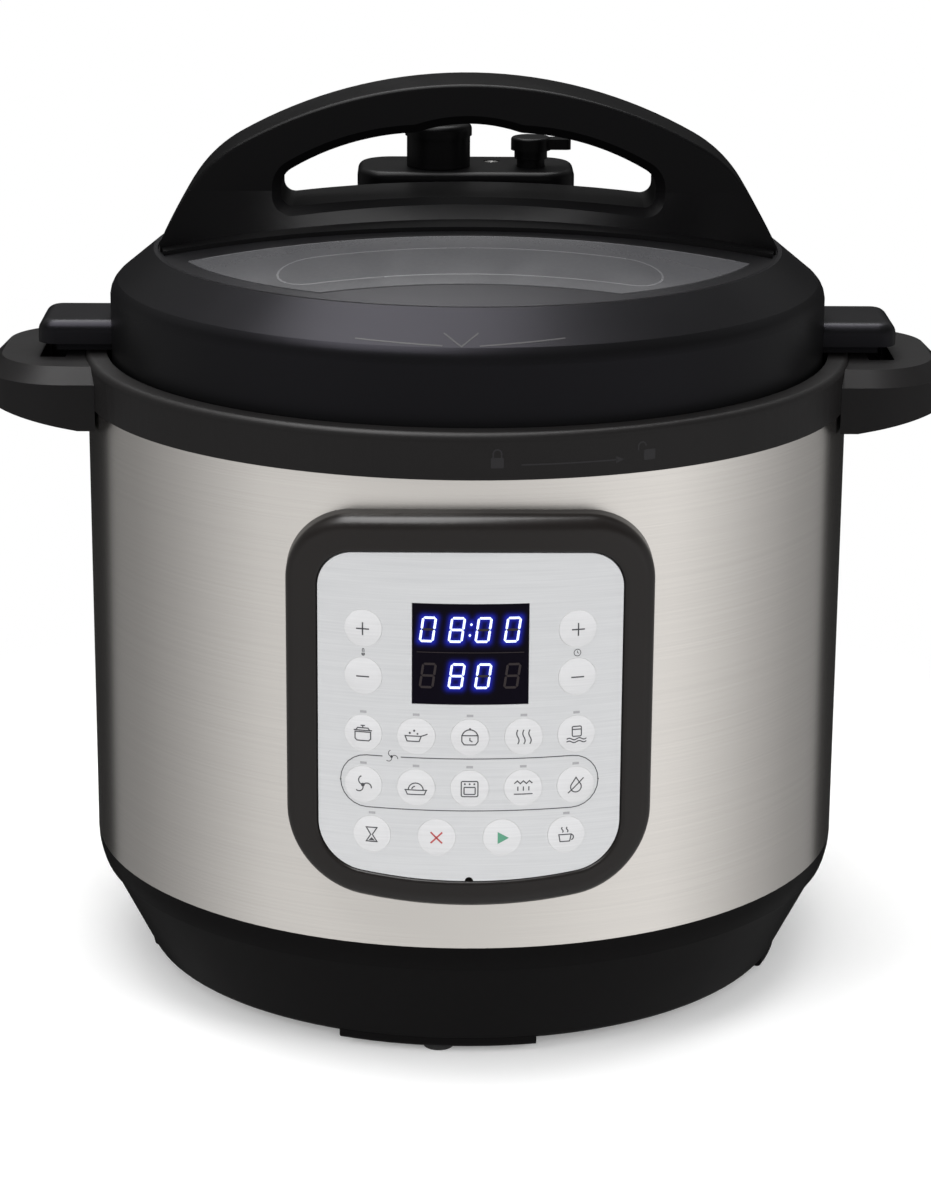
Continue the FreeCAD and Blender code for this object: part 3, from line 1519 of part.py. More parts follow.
def foot_section(body, place):
    half = z["grip_half_depth"]
    low = []
    for middle, bow, side in (
        (z["foot_front"], z["foot_bow"], -1),
        (z["foot_back"], z["foot_back_bow"], 1),
    ):
        reach = bow_reach(middle, bow, place)
        height = dome_height(root(place * place + reach * reach), as_size(0))
        slope = (reach - half) / (z["seam_height"] - height)
        low.append(((reach + slope * z["foot_depth"]) * side, height - z["foot_depth"]))
    above = z["seam_height"] + z["foot_depth"]
    return outline(new_sketch(body, "YZ_Plane", raised=place), [
        low[0],
        low[1],
        (half, z["seam_height"]),
        (half, above),
        (-half, above),
        (-half, z["seam_height"]),
    ])


# An edge that runs front to back through (x, z), on either side of the middle.
def crosses_at(edge, x, height):
    box = edge.BoundBox
    is_level = near(box.XMin, box.XMax) and near(box.ZMin, box.ZMax)
    return is_level and near(abs(box.XMin), x.value) and near(box.ZMin, height.value)


# Steam platform behind the handle, with the valve, the release button and the float.
def make_steam_fittings():
    body = new_body("steam_platform")
    plan = new_sketch(body, "XY_Plane", raised=z["lid_edge_height"])
    box_outline(plan, -z["platform_left"], z["platform_right"], z["platform_front"], z["platform_back"])
    pad(body, plan, z["platform_top"] - z["lid_edge_height"])
    corners = [
        (x, y)
        for x in (-z["platform_left"], z["platform_right"])
        for y in (z["platform_front"], z["platform_back"])
    ]
    dress(
        body, "Fillet",
        lambda edge: any(upright_at(edge, x, y) for x, y in corners),
        Radius=z["platform_corner"],
    )
    dress(body, "Fillet", lambda edge: level(edge, z["platform_top"]), Radius=z["platform_round"])
    under = new_sketch(body, "XZ_Plane")
    edge_height = dome_height(z["lid_edge_radius"], as_size(0))
    outline(under, [
        (0, z["lid_side_top"]),
        (z["lid_edge_radius"], z["lid_side_top"]),
        (z["lid_edge_radius"], edge_height, z["dome_bow"], 1),
        (z["apex_flat"], dome_height(z["apex_flat"], as_size(0))),
        (0, dome_height(z["apex_flat"], as_size(0))),
    ])
    groove(body, under)
    steam_holes(body, with_stem=True)
    keep(body, "steam_platform")

    pipe_top = z["platform_top"] + z["pipe_above"]
    turned_piece("exhaust_pipe", [
        (z["pipe_bore"], liner_underside - z["pipe_nut"]),
        (z["pipe_nut_radius"], liner_underside - z["pipe_nut"]),
        (z["pipe_nut_radius"], liner_underside),
        (z["pipe_radius"], liner_underside),
        (z["pipe_radius"], pipe_top),
        (z["pipe_bore"], pipe_top),
    ], z["valve_x"], z["valve_y"])

    shield_bottom = liner_underside - z["cap_shield_height"]
    shield_inner = z["cap_shield_radius"] - z["cap_shield_wall"]
    shield = turned_piece("anti_block_shield", [
        (0, shield_bottom),
        (z["cap_shield_radius"], shield_bottom),
        (z["cap_shield_radius"], liner_underside),
        (shield_inner, liner_underside),
        (shield_inner, shield_bottom + z["cap_shield_wall"]),
        (0, shield_bottom + z["cap_shield_wall"]),
    ], z["valve_x"], z["valve_y"])
    half = z["cap_window"] / 2
    low = shield_bottom + z["cap_shield_wall"] * 2
    opening = box_outline(new_sketch(shield, "XZ_Plane"), -half, half, low, low + z["cap_window"])
    around(shield, pocket(shield, opening, z["cap_shield_radius"] * 2), z["cap_window_count"])

    valve_bottom = z["platform_top"] + z["clearance"]
    knob_radius = z["valve_radius"] - z["valve_overhang"]
    bore = z["pipe_radius"] + z["clearance"]
    bore_top = pipe_top + z["clearance"] * 2
    turned_piece("steam_release_valve", [
        (bore, valve_bottom),
        (knob_radius, valve_bottom),
        (knob_radius, z["valve_top"] - z["valve_cap"]),
        (z["valve_radius"], z["valve_top"] - z["valve_cap"]),
        (z["valve_radius"], z["valve_top"] - z["valve_round"], z["valve_round"], 1),
        (z["valve_radius"] - z["valve_round"], z["valve_top"]),
        (0, z["valve_top"]),
        (0, bore_top),
        (bore, bore_top),
    ], z["valve_x"], z["valve_y"])

    cap_bottom = z["platform_top"] + z["release_travel"] + z["stop_gap"]
    stem_top = cap_bottom - z["clearance"]
    spigot_top = stem_top + z["spigot_height"]
    turned_piece("release_stem", [
        (0, z["release_stem_bottom"]),
        (z["release_stem_radius"], z["release_stem_bottom"]),
        (z["release_stem_radius"], stem_top),
        (z["spigot_radius"], stem_top),
        (z["spigot_radius"], spigot_top),
        (0, spigot_top),
    ], z["release_x"], z["release_y"])
    make_release_cap(cap_bottom, spigot_top)

    rest_top = z["platform_top"] - z["clearance"]
    flange_top = liner_underside - z["float_rise"] - z["stop_gap"]
    flange_bottom = flange_top - z["float_flange_thickness"]
    turned_piece("float_valve", [
        (0, flange_bottom),
        (z["float_flange"], flange_bottom),
        (z["float_flange"], flange_top),
        (z["float_radius"], flange_top),
        (z["float_radius"], rest_top),
        (0, rest_top),
    ], z["float_x"], z["float_y"])
    turned_piece("float_cap", [
        (0, flange_bottom - z["float_cap_height"]),
        (z["float_flange"] - z["foot_round"], flange_bottom - z["float_cap_height"]),
        (z["float_flange"], flange_bottom - z["float_cap_height"] + z["foot_round"]),
        (z["float_flange"], flange_bottom),
        (0, flange_bottom),
    ], z["float_x"], z["float_y"])


# Round release cap with a thumb tab at its side, turning on the stem's spigot.
def make_release_cap(bottom, spigot_top):
    body = new_body("release_cap")
    top = bottom + z["release_cap_height"]
    bore = z["spigot_radius"] + z["running_gap"]
    bore_top = spigot_top + z["clearance"]
    head_bottom = bottom + z["release_neck"]
    section = [
        (bore, bottom),
        (z["release_neck_radius"], bottom),
        (z["release_neck_radius"], head_bottom),
        (z["release_cap_radius"], head_bottom),
        (z["release_cap_radius"], top - z["release_cap_round"], z["release_cap_round"], 1),
        (z["release_cap_radius"] - z["release_cap_round"], top),
        (0, top),
        (0, bore_top),
        (bore, bore_top),
    ]
    revolve(body, outline(new_sketch(body, "XZ_Plane"), section))
    tab = new_sketch(body, "XY_Plane", raised=head_bottom + z["release_tab_lift"])
    half = z["release_tab_half_width"]
    box_outline(tab, z["release_cap_radius"] / 2, z["release_tab_reach"], -half, half)
    pad(body, tab, z["release_tab_height"])
    dress(
        body, "Fillet",
        lambda edge: any(upright_at(edge, z["release_tab_reach"], y) for y in (half, -half)),
        Radius=z["release_tab_round"],
    )
    body.Placement = Placement(Vector(z["release_x"].value, z["release_y"].value, 0), Rotation())
    body.setExpression("Placement.Base.x", z["release_x"].text)
    body.setExpression("Placement.Base.y", z["release_y"].text)
    keep(body, "release_cap")


def write_parts():
    doc.recompute()
    for item in doc.Objects:
        if "Invalid" in item.State or "Error" in item.State:
            raise RuntimeError(f"{item.Name} failed: {item.State}")
    os.makedirs("parts", exist_ok=True)
    for item in PARTS:
        if item.Shape.isNull() or not item.Shape.isValid():
            raise RuntimeError(f"{item.Label} has no valid shape")
    for item in PARTS:
        item.Shape.exportStep(os.path.join("parts", f"{item.Label}.step"))
    print(f"{len(PARTS)} parts written")


make_base_shell()
make_feet_and_screws()
make_housing()
make_side_handles()
make_pots()
make_electrics()
make_inlet()
make_cup()
make_panel()
make_keys()
make_lid_cover()
make_lid_inside()
make_lid_handle()
make_steam_fittings()
write_parts()
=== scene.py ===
import math

import bmesh
import bpy
from mathutils import Matrix, Vector
from mathutils.bvhtree import BVHTree


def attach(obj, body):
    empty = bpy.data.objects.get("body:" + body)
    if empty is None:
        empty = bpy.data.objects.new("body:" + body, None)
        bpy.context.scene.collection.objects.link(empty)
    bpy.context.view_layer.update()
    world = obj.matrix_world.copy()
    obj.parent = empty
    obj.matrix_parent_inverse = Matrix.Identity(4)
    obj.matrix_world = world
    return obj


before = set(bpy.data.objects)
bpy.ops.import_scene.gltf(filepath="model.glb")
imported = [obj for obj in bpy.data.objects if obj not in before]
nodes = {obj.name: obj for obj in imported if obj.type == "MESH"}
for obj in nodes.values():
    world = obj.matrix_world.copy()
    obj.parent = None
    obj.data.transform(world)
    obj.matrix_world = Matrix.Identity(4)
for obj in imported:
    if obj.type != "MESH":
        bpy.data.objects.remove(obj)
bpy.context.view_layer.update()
scene = bpy.context.scene
mm = 0.001
print("frame loaded:", len(nodes), "nodes")


cameraSettings = {
    "spot": (-0.0156, -1.3129, 0.5288),
    "pitch": 16.42,
    "turn": -0.68,
    "roll": 0.378,
    "lens": 101.91,
    "sensor": 36,
    "farthest": 20,
}

studioSettings = {
    "floorReach": 0.5,
    "floorCorners": 96,
    "floorFade": (0.22, 0.46),
    "floorColor": (0.86, 0.86, 0.86, 1.0),
    "floorGlow": 0.2,
    "skyDiffuse": 0.5,
    # what a mirror sees level with it, from the front (-1) to the back (1)
    "wallTones": (
        (-0.96, 0.86), (-0.74, 0.97), (-0.45, 1.0), (-0.18, 0.77), (0.1, 0.55), (0.43, 0.36), (0.65, 0.3),
        (0.7, 0.29), (0.73, 0.02),
    ),
    "wallSides": (0.8, 1.07),
    # what it sees above, from level (0) to overhead (1)
    "ceilingTones": ((0.0, 0.1), (0.3, 0.12), (0.45, 0.4), (0.75, 0.4), (0.9, 0.3), (1.0, 0.3)),
    "ceilingFront": 0.15,
    "ceilingTurn": (-0.25, 0.3),
    "wallTop": (0.12, 0.32),
}

lampSettings = [
    # name, spot, aim, width, height, watts
    ("mirrorBox", (-0.24, 0.1, 1.75), (0.0, 0.0, 0.25), 2.4, 1.2, 107),
    ("topBox", (-0.1, -0.15, 1.8), (0.0, 0.0, 0.2), 1.6, 1.5, 26),
    ("leftBox", (-1.35, -1.15, 0.75), (0.0, 0.0, 0.18), 0.7, 1.1, 11),
    ("rightBox", (1.45, -1.2, 0.75), (0.0, 0.0, 0.18), 0.6, 1.1, 10),
    ("frontBox", (0.1, -1.9, 0.95), (0.0, 0.0, 0.16), 1.1, 0.5, 12),
]


def placeCamera(settings):
    data = bpy.data.cameras.new("photoCamera")
    data.lens = settings["lens"]
    data.sensor_width = settings["sensor"]
    data.clip_end = settings["farthest"]
    camera = bpy.data.objects.new("photoCamera", data)
    turn = Matrix.Rotation(math.radians(settings["turn"]), 4, "Z")
    pitch = Matrix.Rotation(math.radians(90 - settings["pitch"]), 4, "X")
    roll = Matrix.Rotation(math.radians(settings["roll"]), 4, "Z")
    camera.matrix_world = Matrix.Translation(settings["spot"]) @ turn @ pitch @ roll
    scene.collection.objects.link(camera)
    scene.camera = camera


def placeLamp(name, spot, aim, width, height, watts):
    data = bpy.data.lights.new(name, "AREA")
    data.shape = "RECTANGLE"
    data.size = width
    data.size_y = height
    data.energy = watts
    lamp = bpy.data.objects.new(name, data)
    lamp.location = spot
    lamp.rotation_euler = (Vector(aim) - Vector(spot)).to_track_quat("-Z", "Y").to_euler()
    # one box shows in mirrors alone, and the walls of the sky stand for the others there
    lamp.visible_glossy = name == "mirrorBox"
    lamp.visible_diffuse = name != "mirrorBox"
    scene.collection.objects.link(lamp)


# a socket takes a plain value, or the output of another node
def addNode(tree, kind, sockets=None, **props):
    node = tree.nodes.new(kind)
    for name, value in props.items():
        setattr(node, name, value)
    for name, value in (sockets or {}).items():
        if isinstance(value, bpy.types.NodeSocket):
            tree.links.new(value, node.inputs[name])
        else:
            node.inputs[name].default_value = value
    return node


def addMath(tree, operation, *values):
    return addNode(tree, "ShaderNodeMath", dict(enumerate(values)), operation=operation).outputs[0]


def mapRange(tree, value, span, result=(0.0, 1.0), **props):
    sockets = {"Value": value, "From Min": span[0], "From Max": span[1]}
    sockets |= {"To Min": result[0], "To Max": result[1]}
    return addNode(tree, "ShaderNodeMapRange", sockets, **props).outputs[0]


def mixValues(tree, share, low, high):
    sockets = {"Factor": share, "A": low, "B": high}
    return addNode(tree, "ShaderNodeMix", sockets, data_type="FLOAT").outputs[0]


def mixColors(tree, share, low, high):
    sockets = {"Factor": share, "A": (*low, 1), "B": (*high, 1)}
    return addNode(tree, "ShaderNodeMix", sockets, data_type="RGBA").outputs["Result"]


def newTree(owner):
    owner.use_nodes = True
    owner.node_tree.nodes.clear()
    return owner.node_tree


def toneRamp(tree, tones, low, source):
    ramp = addNode(tree, "ShaderNodeValToRGB", {"Fac": source})
    places = [((place - low) / (1 - low), tone) for place, tone in tones]
    while len(ramp.color_ramp.elements) < len(places):
        ramp.color_ramp.elements.new(1.0)
    for element, (place, tone) in zip(ramp.color_ramp.elements, places):
        element.position = place
        element.color = (tone, tone, tone, 1)
    return ramp.outputs["Color"]


# white to the camera, even to matt faces, and to a mirror a room that is pale in front and dim at the sides
def makeSky(settings):
    world = bpy.data.worlds.new("studioSky")
    tree = newTree(world)
    coords = addNode(tree, "ShaderNodeTexCoord")
    split = addNode(tree, "ShaderNodeSeparateXYZ", {0: coords.outputs["Generated"]})
    right, back, up = (split.outputs[axis] for axis in "XYZ")
    walls = toneRamp(tree, settings["wallTones"], -1, mapRange(tree, back, (-1.0, 1.0)))
    sides = mapRange(tree, right, (-1.0, 1.0), settings["wallSides"])
    wall = addMath(tree, "MULTIPLY", walls, sides)
    tops = toneRamp(tree, settings["ceilingTones"], 0, up)
    turn = mapRange(tree, back, settings["ceilingTurn"], (settings["ceilingFront"], 1.0))
    ceiling = addMath(tree, "MULTIPLY", tops, turn)
    room = mixValues(tree, mapRange(tree, up, settings["wallTop"]), wall, ceiling)
    rays = addNode(tree, "ShaderNodeLightPath")
    mirrored = addMath(tree, "MAXIMUM", rays.outputs["Is Glossy Ray"], rays.outputs["Is Transmission Ray"])
    soft = mixValues(tree, mirrored, settings["skyDiffuse"], room)
    seen = mixValues(tree, rays.outputs["Is Camera Ray"], soft, 1.0)
    glow = addNode(tree, "ShaderNodeBackground", {"Color": (1, 1, 1, 1), "Strength": seen})
    addNode(tree, "ShaderNodeOutputWorld", {"Surface": glow.outputs[0]})
    scene.world = world


# a pale disc that fades out at its rim, so that it runs into the white behind it
def makeFloor(settings):
    mesh = bpy.data.meshes.new("studioFloor")
    bm = bmesh.new()
    corners = settings["floorCorners"]
    bmesh.ops.create_circle(bm, cap_ends=True, segments=corners, radius=settings["floorReach"])
    bm.to_mesh(mesh)
    bm.free()
    floor = bpy.data.objects.new("studioFloor", mesh)
    scene.collection.objects.link(floor)
    material = bpy.data.materials.new("paleFloor")
    tree = newTree(material)
    coords = addNode(tree, "ShaderNodeTexCoord")
    reach = addNode(tree, "ShaderNodeVectorMath", {0: coords.outputs["Object"]}, operation="LENGTH")
    fade = mapRange(tree, reach.outputs["Value"], settings["floorFade"], interpolation_type="SMOOTHSTEP")
    pale = addNode(tree, "ShaderNodeBsdfDiffuse", {"Color": settings["floorColor"]})
    rays = addNode(tree, "ShaderNodeLightPath")
    strength = addMath(tree, "MULTIPLY", rays.outputs["Is Camera Ray"], settings["floorGlow"])
    glow = addNode(tree, "ShaderNodeEmission", {"Color": (1, 1, 1, 1), "Strength": strength})
    both = addNode(tree, "ShaderNodeAddShader", {0: pale.outputs[0], 1: glow.outputs[0]})
    clear = addNode(tree, "ShaderNodeBsdfTransparent")
    # a mirror sees the walls go on below the floor
    unseen = addMath(tree, "MAXIMUM", fade, rays.outputs["Is Glossy Ray"])
    mix = addNode(tree, "ShaderNodeMixShader", {"Fac": unseen, 1: both.outputs[0], 2: clear.outputs[0]})
    addNode(tree, "ShaderNodeOutputMaterial", {"Surface": mix.outputs[0]})
    mesh.materials.append(material)


scene.view_settings.view_transform = "Standard"
placeCamera(cameraSettings)
for lamp in lampSettings:
    placeLamp(*lamp)
makeSky(studioSettings)
makeFloor(studioSettings)
print("studio ready")


def newGroup(name, inputs, outputs):
    tree = bpy.data.node_groups.new(name, "ShaderNodeTree")
    for label, value in inputs.items():
        socket = tree.interface.new_socket(label, in_out="INPUT", socket_type="NodeSocketFloat")
        socket.default_value = value
    for label in outputs:
        tree.interface.new_socket(label, in_out="OUTPUT", socket_type="NodeSocketFloat")
    start = tree.nodes.new("NodeGroupInput")
    end = tree.nodes.new("NodeGroupOutput")
    return tree, start, end


# fine lines that run level round a piece, as a brush leaves them
def makeBrushLines():
    tree, start, end = newGroup("brushLines", {"Lines": 3000.0, "Along": 8.0}, ["Mask", "Height"])
    coords = addNode(tree, "ShaderNodeTexCoord")
    along = start.outputs["Along"]
    stretch = addNode(tree, "ShaderNodeCombineXYZ", {"X": along, "Y": along, "Z": start.outputs["Lines"]})
    sockets = {0: coords.outputs["Object"], 1: stretch.outputs[0]}
    spread = addNode(tree, "ShaderNodeVectorMath", sockets, operation="MULTIPLY")
    sockets = {"Vector": spread.outputs[0], "Scale": 1.0, "Detail": 3.0, "Roughness": 0.6}
    fine = addNode(tree, "ShaderNodeTexNoise", sockets)
    tree.links.new(mapRange(tree, fine.outputs["Fac"], (0.3, 0.7)), end.inputs["Mask"])
    tree.links.new(fine.outputs["Fac"], end.inputs["Height"])
    return tree


# the fine spark-eroded grain of moulded plastic and rubber
def makeMouldGrain():
    tree, start, end = newGroup("mouldGrain", {"Grain": 2200.0}, ["Mask", "Height"])
    coords = addNode(tree, "ShaderNodeTexCoord")
    sockets = {0: coords.outputs["Object"], "Scale": start.outputs["Grain"]}
    spread = addNode(tree, "ShaderNodeVectorMath", sockets, operation="SCALE")
    sockets = {"Vector": spread.outputs[0], "Scale": 1.0, "Detail": 2.0, "Roughness": 0.5}
    fine = addNode(tree, "ShaderNodeTexNoise", sockets)
    pits = addNode(tree, "ShaderNodeTexVoronoi", {"Vector": spread.outputs[0], "Scale": 0.7})
    rough = addMath(tree, "MULTIPLY", fine.outputs["Fac"], pits.outputs["Distance"])
    tree.links.new(fine.outputs["Fac"], end.inputs["Mask"])
    tree.links.new(rough, end.inputs["Height"])
    return tree


# slow cloudy change from handling and wiping
def makeHandHaze():
    tree, start, end = newGroup("handHaze", {"Spread": 14.0}, ["Mask"])
    coords = addNode(tree, "ShaderNodeTexCoord")
    cloud = addNode(tree, "ShaderNodeTexNoise", {
        "Vector": coords.outputs["Object"], "Scale": start.outputs["Spread"],
        "Detail": 4.0, "Roughness": 0.55, "Distortion": 0.6,
    })
    tree.links.new(mapRange(tree, cloud.outputs["Fac"], (0.35, 0.68)), end.inputs["Mask"])
    return tree


surfaceGroups = {"brush": makeBrushLines(), "mould": makeMouldGrain(), "haze": makeHandHaze()}

finishSettings = {
    "blackMoulding": {
        "colors": ((0.0052, 0.0049, 0.005), (0.0074, 0.0068, 0.007)), "roughness": (0.40, 0.50),
        "grain": 2200.0, "bump": (0.10, 0.0002), "specular": 0.1,
    },
    "ringMoulding": {
        "colors": ((0.0065, 0.006, 0.006), (0.009, 0.0082, 0.0082)), "roughness": (0.42, 0.52),
        "grain": 2200.0, "bump": (0.10, 0.0002), "specular": 0.15, "trueFaces": True,
    },
    "baseMoulding": {
        "colors": ((0.0024, 0.0022, 0.0023), (0.0036, 0.0033, 0.0034)), "roughness": (0.34, 0.42),
        "grain": 2400.0, "bump": (0.08, 0.0002), "specular": 0.04,
    },
    "lidMoulding": {
        "colors": ((0.0028, 0.0028, 0.0029), (0.0042, 0.0042, 0.0043)), "roughness": (0.33, 0.39),
        "grain": 2600.0, "bump": (0.08, 0.0002), "specular": 0.1,
        "sheenTint": (0.86, 0.82, 1.0),
    },
    "gripMoulding": {
        "colors": ((0.0020, 0.0019, 0.0021), (0.0030, 0.0029, 0.0031)), "roughness": (0.32, 0.42),
        "grain": 2600.0, "bump": (0.08, 0.0002), "specular": 0.05,
    },
    "bezelMoulding": {
        "colors": ((0.0075, 0.0063, 0.0058), (0.0105, 0.0087, 0.008)), "roughness": (0.30, 0.38),
        "grain": 3000.0, "bump": (0.05, 0.0001), "specular": 0.25,
    },
    "lensGloss": {
        "colors": ((0.058, 0.058, 0.062), (0.073, 0.073, 0.077)), "roughness": (0.16, 0.26),
        "grain": 600.0, "bump": (0.015, 0.0001), "specular": 0.27,
    },
    # pale lines of painted highlight on the lid's gloss insert
    "lensHighlightLine": {
        "colors": ((0.085, 0.085, 0.09), (0.1, 0.1, 0.105)), "roughness": (0.25, 0.32),
        "grain": 4000.0, "bump": (0.02, 0.0001), "specular": 0.4,
    },
    "footRubber": {
        "colors": ((0.012, 0.012, 0.012), (0.02, 0.02, 0.02)), "roughness": (0.72, 0.85),
        "grain": 1800.0, "bump": (0.2, 0.0003), "specular": 0.3,
    },
    "housingSteel": {
        "colors": ((0.68, 0.65, 0.617), (0.73, 0.7, 0.662)), "roughness": (0.25, 0.265), "metallic": 1.0,
        "brush": (3400.0, 7.0), "bump": (0.04, 0.0002), "anisotropy": 0.85,
    },
    "potSteel": {
        "colors": ((0.58, 0.575, 0.56), (0.68, 0.67, 0.655)), "roughness": (0.24, 0.28), "metallic": 1.0,
        "brush": (2600.0, 10.0), "bump": (0.05, 0.0002), "anisotropy": 0.5,
    },
    "platedSteel": {
        "colors": ((0.42, 0.43, 0.44), (0.52, 0.53, 0.54)), "roughness": (0.32, 0.46), "metallic": 1.0,
        "grain": 1500.0, "bump": (0.08, 0.0002),
    },
    "castAluminium": {
        "colors": ((0.52, 0.52, 0.53), (0.64, 0.64, 0.645)), "roughness": (0.36, 0.5), "metallic": 1.0,
        "grain": 900.0, "bump": (0.2, 0.0004),
    },
    "platedBrass": {
        "colors": ((0.60, 0.55, 0.40), (0.70, 0.65, 0.50)), "roughness": (0.22, 0.32), "metallic": 1.0,
        "grain": 1500.0, "bump": (0.05, 0.0001),
    },
    "boardGreen": {
        "colors": ((0.012, 0.08, 0.03), (0.02, 0.12, 0.045)), "roughness": (0.3, 0.45),
        "grain": 800.0, "bump": (0.1, 0.0003), "specular": 0.5,
    },
    "darkModule": {
        "colors": ((0.012, 0.012, 0.014), (0.02, 0.02, 0.022)), "roughness": (0.45, 0.6),
        "grain": 1500.0, "bump": (0.1, 0.0002), "specular": 0.4,
    },
    "silverFilm": {
        "colors": ((0.54, 0.545, 0.555), (0.60, 0.605, 0.612)), "roughness": (0.34, 0.44), "metallic": 0.35,
        "brush": (1500.0, 26.0), "bump": (0.015, 0.0001), "specular": 0.5,
    },
    "keyFilm": {
        "colors": ((0.58, 0.58, 0.588), (0.64, 0.64, 0.648)), "roughness": (0.30, 0.38), "metallic": 0.2,
        "brush": (1500.0, 26.0), "bump": (0.02, 0.0001), "specular": 0.5,
    },
    "displayGlass": {
        "colors": ((0.0022, 0.0016, 0.004), (0.0034, 0.0025, 0.0056)), "roughness": (0.12, 0.2),
        "grain": 900.0, "bump": (0.01, 0.0001), "specular": 0.035,
    },
    "paleSheet": {
        "colors": ((0.8, 0.8, 0.8), (0.86, 0.86, 0.86)), "roughness": (0.45, 0.55),
        "grain": 1200.0, "bump": (0.04, 0.0001), "specular": 0.4,
    },
    "paleSilicone": {
        "colors": ((0.62, 0.63, 0.63), (0.7, 0.705, 0.71)), "roughness": (0.5, 0.62),
        "grain": 1200.0, "bump": (0.1, 0.0003), "specular": 0.4,
    },
    "cupPlastic": {
        "colors": ((0.42, 0.44, 0.45), (0.5, 0.52, 0.53)), "roughness": (0.12, 0.22),
        "grain": 1200.0, "bump": (0.03, 0.0001), "specular": 0.5,
    },
    # dark print on the keys and panel; on the screw heads the same dark is painted shade in the slots
    "darkInkAndSlotShade": {
        "colors": ((0.045, 0.045, 0.05), (0.07, 0.07, 0.075)), "roughness": (0.4, 0.5),
        "grain": 4000.0, "bump": (0.05, 0.0001), "specular": 0.4,
    },
    "redInk": {
        "colors": ((0.36, 0.05, 0.055), (0.44, 0.075, 0.075)), "roughness": (0.4, 0.5),
        "grain": 4000.0, "bump": (0.05, 0.0001), "specular": 0.4,
    },
    "greenInk": {
        "colors": ((0.07, 0.24, 0.15), (0.1, 0.3, 0.2)), "roughness": (0.4, 0.5),
        "grain": 4000.0, "bump": (0.05, 0.0001), "specular": 0.4,
    },
    "greyMark": {
        "colors": ((0.3, 0.3, 0.31), (0.36, 0.36, 0.37)), "roughness": (0.4, 0.5),
        "grain": 4000.0, "bump": (0.05, 0.0001), "specular": 0.4,
    },
    "markLine": {
        "colors": ((0.013, 0.0125, 0.0135), (0.018, 0.0172, 0.0182)), "roughness": (0.5, 0.6),
        "grain": 4000.0, "bump": (0.05, 0.0001), "specular": 0.2,
    },
    "litSegment": {
        "colors": ((0.5, 0.58, 0.95), (0.72, 0.8, 1.0)), "roughness": (0.3, 0.4),
        "grain": 1500.0, "bump": (0.02, 0.0001), "specular": 0.2, "glow": 0.8,
    },
    "ghostSegment": {
        "colors": ((0.014, 0.0095, 0.01), (0.019, 0.013, 0.014)), "roughness": (0.3, 0.4),
        "grain": 2000.0, "bump": (0.02, 0.0001), "specular": 0.3,
    },
}


quarterTurn = 0.25


def makeFinish(name, settings):
    material = bpy.data.materials.new(name)
    tree = newTree(material)
    kind, values = "mould", {"Grain": settings.get("grain")}
    if "brush" in settings:
        kind, values = "brush", dict(zip(("Lines", "Along"), settings["brush"]))
    surface = addNode(tree, "ShaderNodeGroup", values, node_tree=surfaceGroups[kind])
    haze = addNode(tree, "ShaderNodeGroup", node_tree=surfaceGroups["haze"])
    tint = mixColors(tree, surface.outputs["Mask"], *settings["colors"])
    wiped = mapRange(tree, haze.outputs["Mask"], (0.0, 1.0), settings["roughness"])
    depth, reach = settings["bump"]
    sockets = {"Strength": depth, "Distance": reach, "Height": surface.outputs["Height"]}
    bump = addNode(tree, "ShaderNodeBump", sockets)
    if settings.get("trueFaces"):
        faces = addNode(tree, "ShaderNodeNewGeometry")
        tree.links.new(faces.outputs["True Normal"], bump.inputs["Normal"])
    skin = addNode(tree, "ShaderNodeBsdfPrincipled", {
        "Base Color": tint,
        "Roughness": wiped,
        "Normal": bump.outputs[0],
        "Metallic": settings.get("metallic", 0.0),
        "Specular IOR Level": settings.get("specular", 0.5),
        "Anisotropic": settings.get("anisotropy", 0.0),
    })
    if "anisotropy" in settings:
        skin.inputs["Anisotropic Rotation"].default_value = quarterTurn
        grain = addNode(tree, "ShaderNodeTangent", direction_type="RADIAL", axis="Z")
        tree.links.new(grain.outputs[0], skin.inputs["Tangent"])
    if "sheenTint" in settings:
        skin.inputs["Specular Tint"].default_value = (*settings["sheenTint"], 1)
    if "glow" in settings:
        skin.inputs["Emission Strength"].default_value = settings["glow"]
        tree.links.new(tint, skin.inputs["Emission Color"])
    addNode(tree, "ShaderNodeOutputMaterial", {"Surface": skin.outputs[0]})
    return material


finishes = {name: makeFinish(name, settings) for name, settings in finishSettings.items()}

nodeFinishes = {
    "blackMoulding": ["left_handle", "right_handle", "power_inlet", "cup_bracket"],
    "ringMoulding": ["upper_ring"],
    "baseMoulding": ["base_shell"],
    "lidMoulding": ["lid_cover"],
    "gripMoulding": [
        "handle_base", "handle_grip", "steam_platform", "steam_release_valve", "release_stem", "release_cap",
    ],
    "bezelMoulding": ["panel_bezel"],
    "lensGloss": ["lid_panel"],
    "footRubber": ["base_feet"],
    "housingSteel": ["housing_skin"],
    "potSteel": [
        "outer_pot", "inner_pot", "lid_liner", "ring_rack", "exhaust_pipe", "anti_block_shield",
        "float_valve", "snap_domes",
    ],
    "platedSteel": ["base_screws", "heat_shield", "thermal_fuse", "lid_nut"],
    "castAluminium": ["heating_plate", "sensor_cap"],
    "platedBrass": ["inlet_pins"],
    "boardGreen": ["power_board"],
    "paleSheet": ["switch_sheet"],
    "darkModule": ["display_module", "pressure_switch"],
    "silverFilm": ["faceplate"],
    "displayGlass": ["display_window"],
    "paleSilicone": ["sealing_ring", "float_cap"],
    "cupPlastic": ["condensation_cup"],
}
nodeFinishes["keyFilm"] = [name for name in nodes if name.endswith("_key")]
for finish, names in nodeFinishes.items():
    for name in names:
        nodes[name].data.materials.clear()
        nodes[name].data.materials.append(finishes[finish])
print("finishes set")


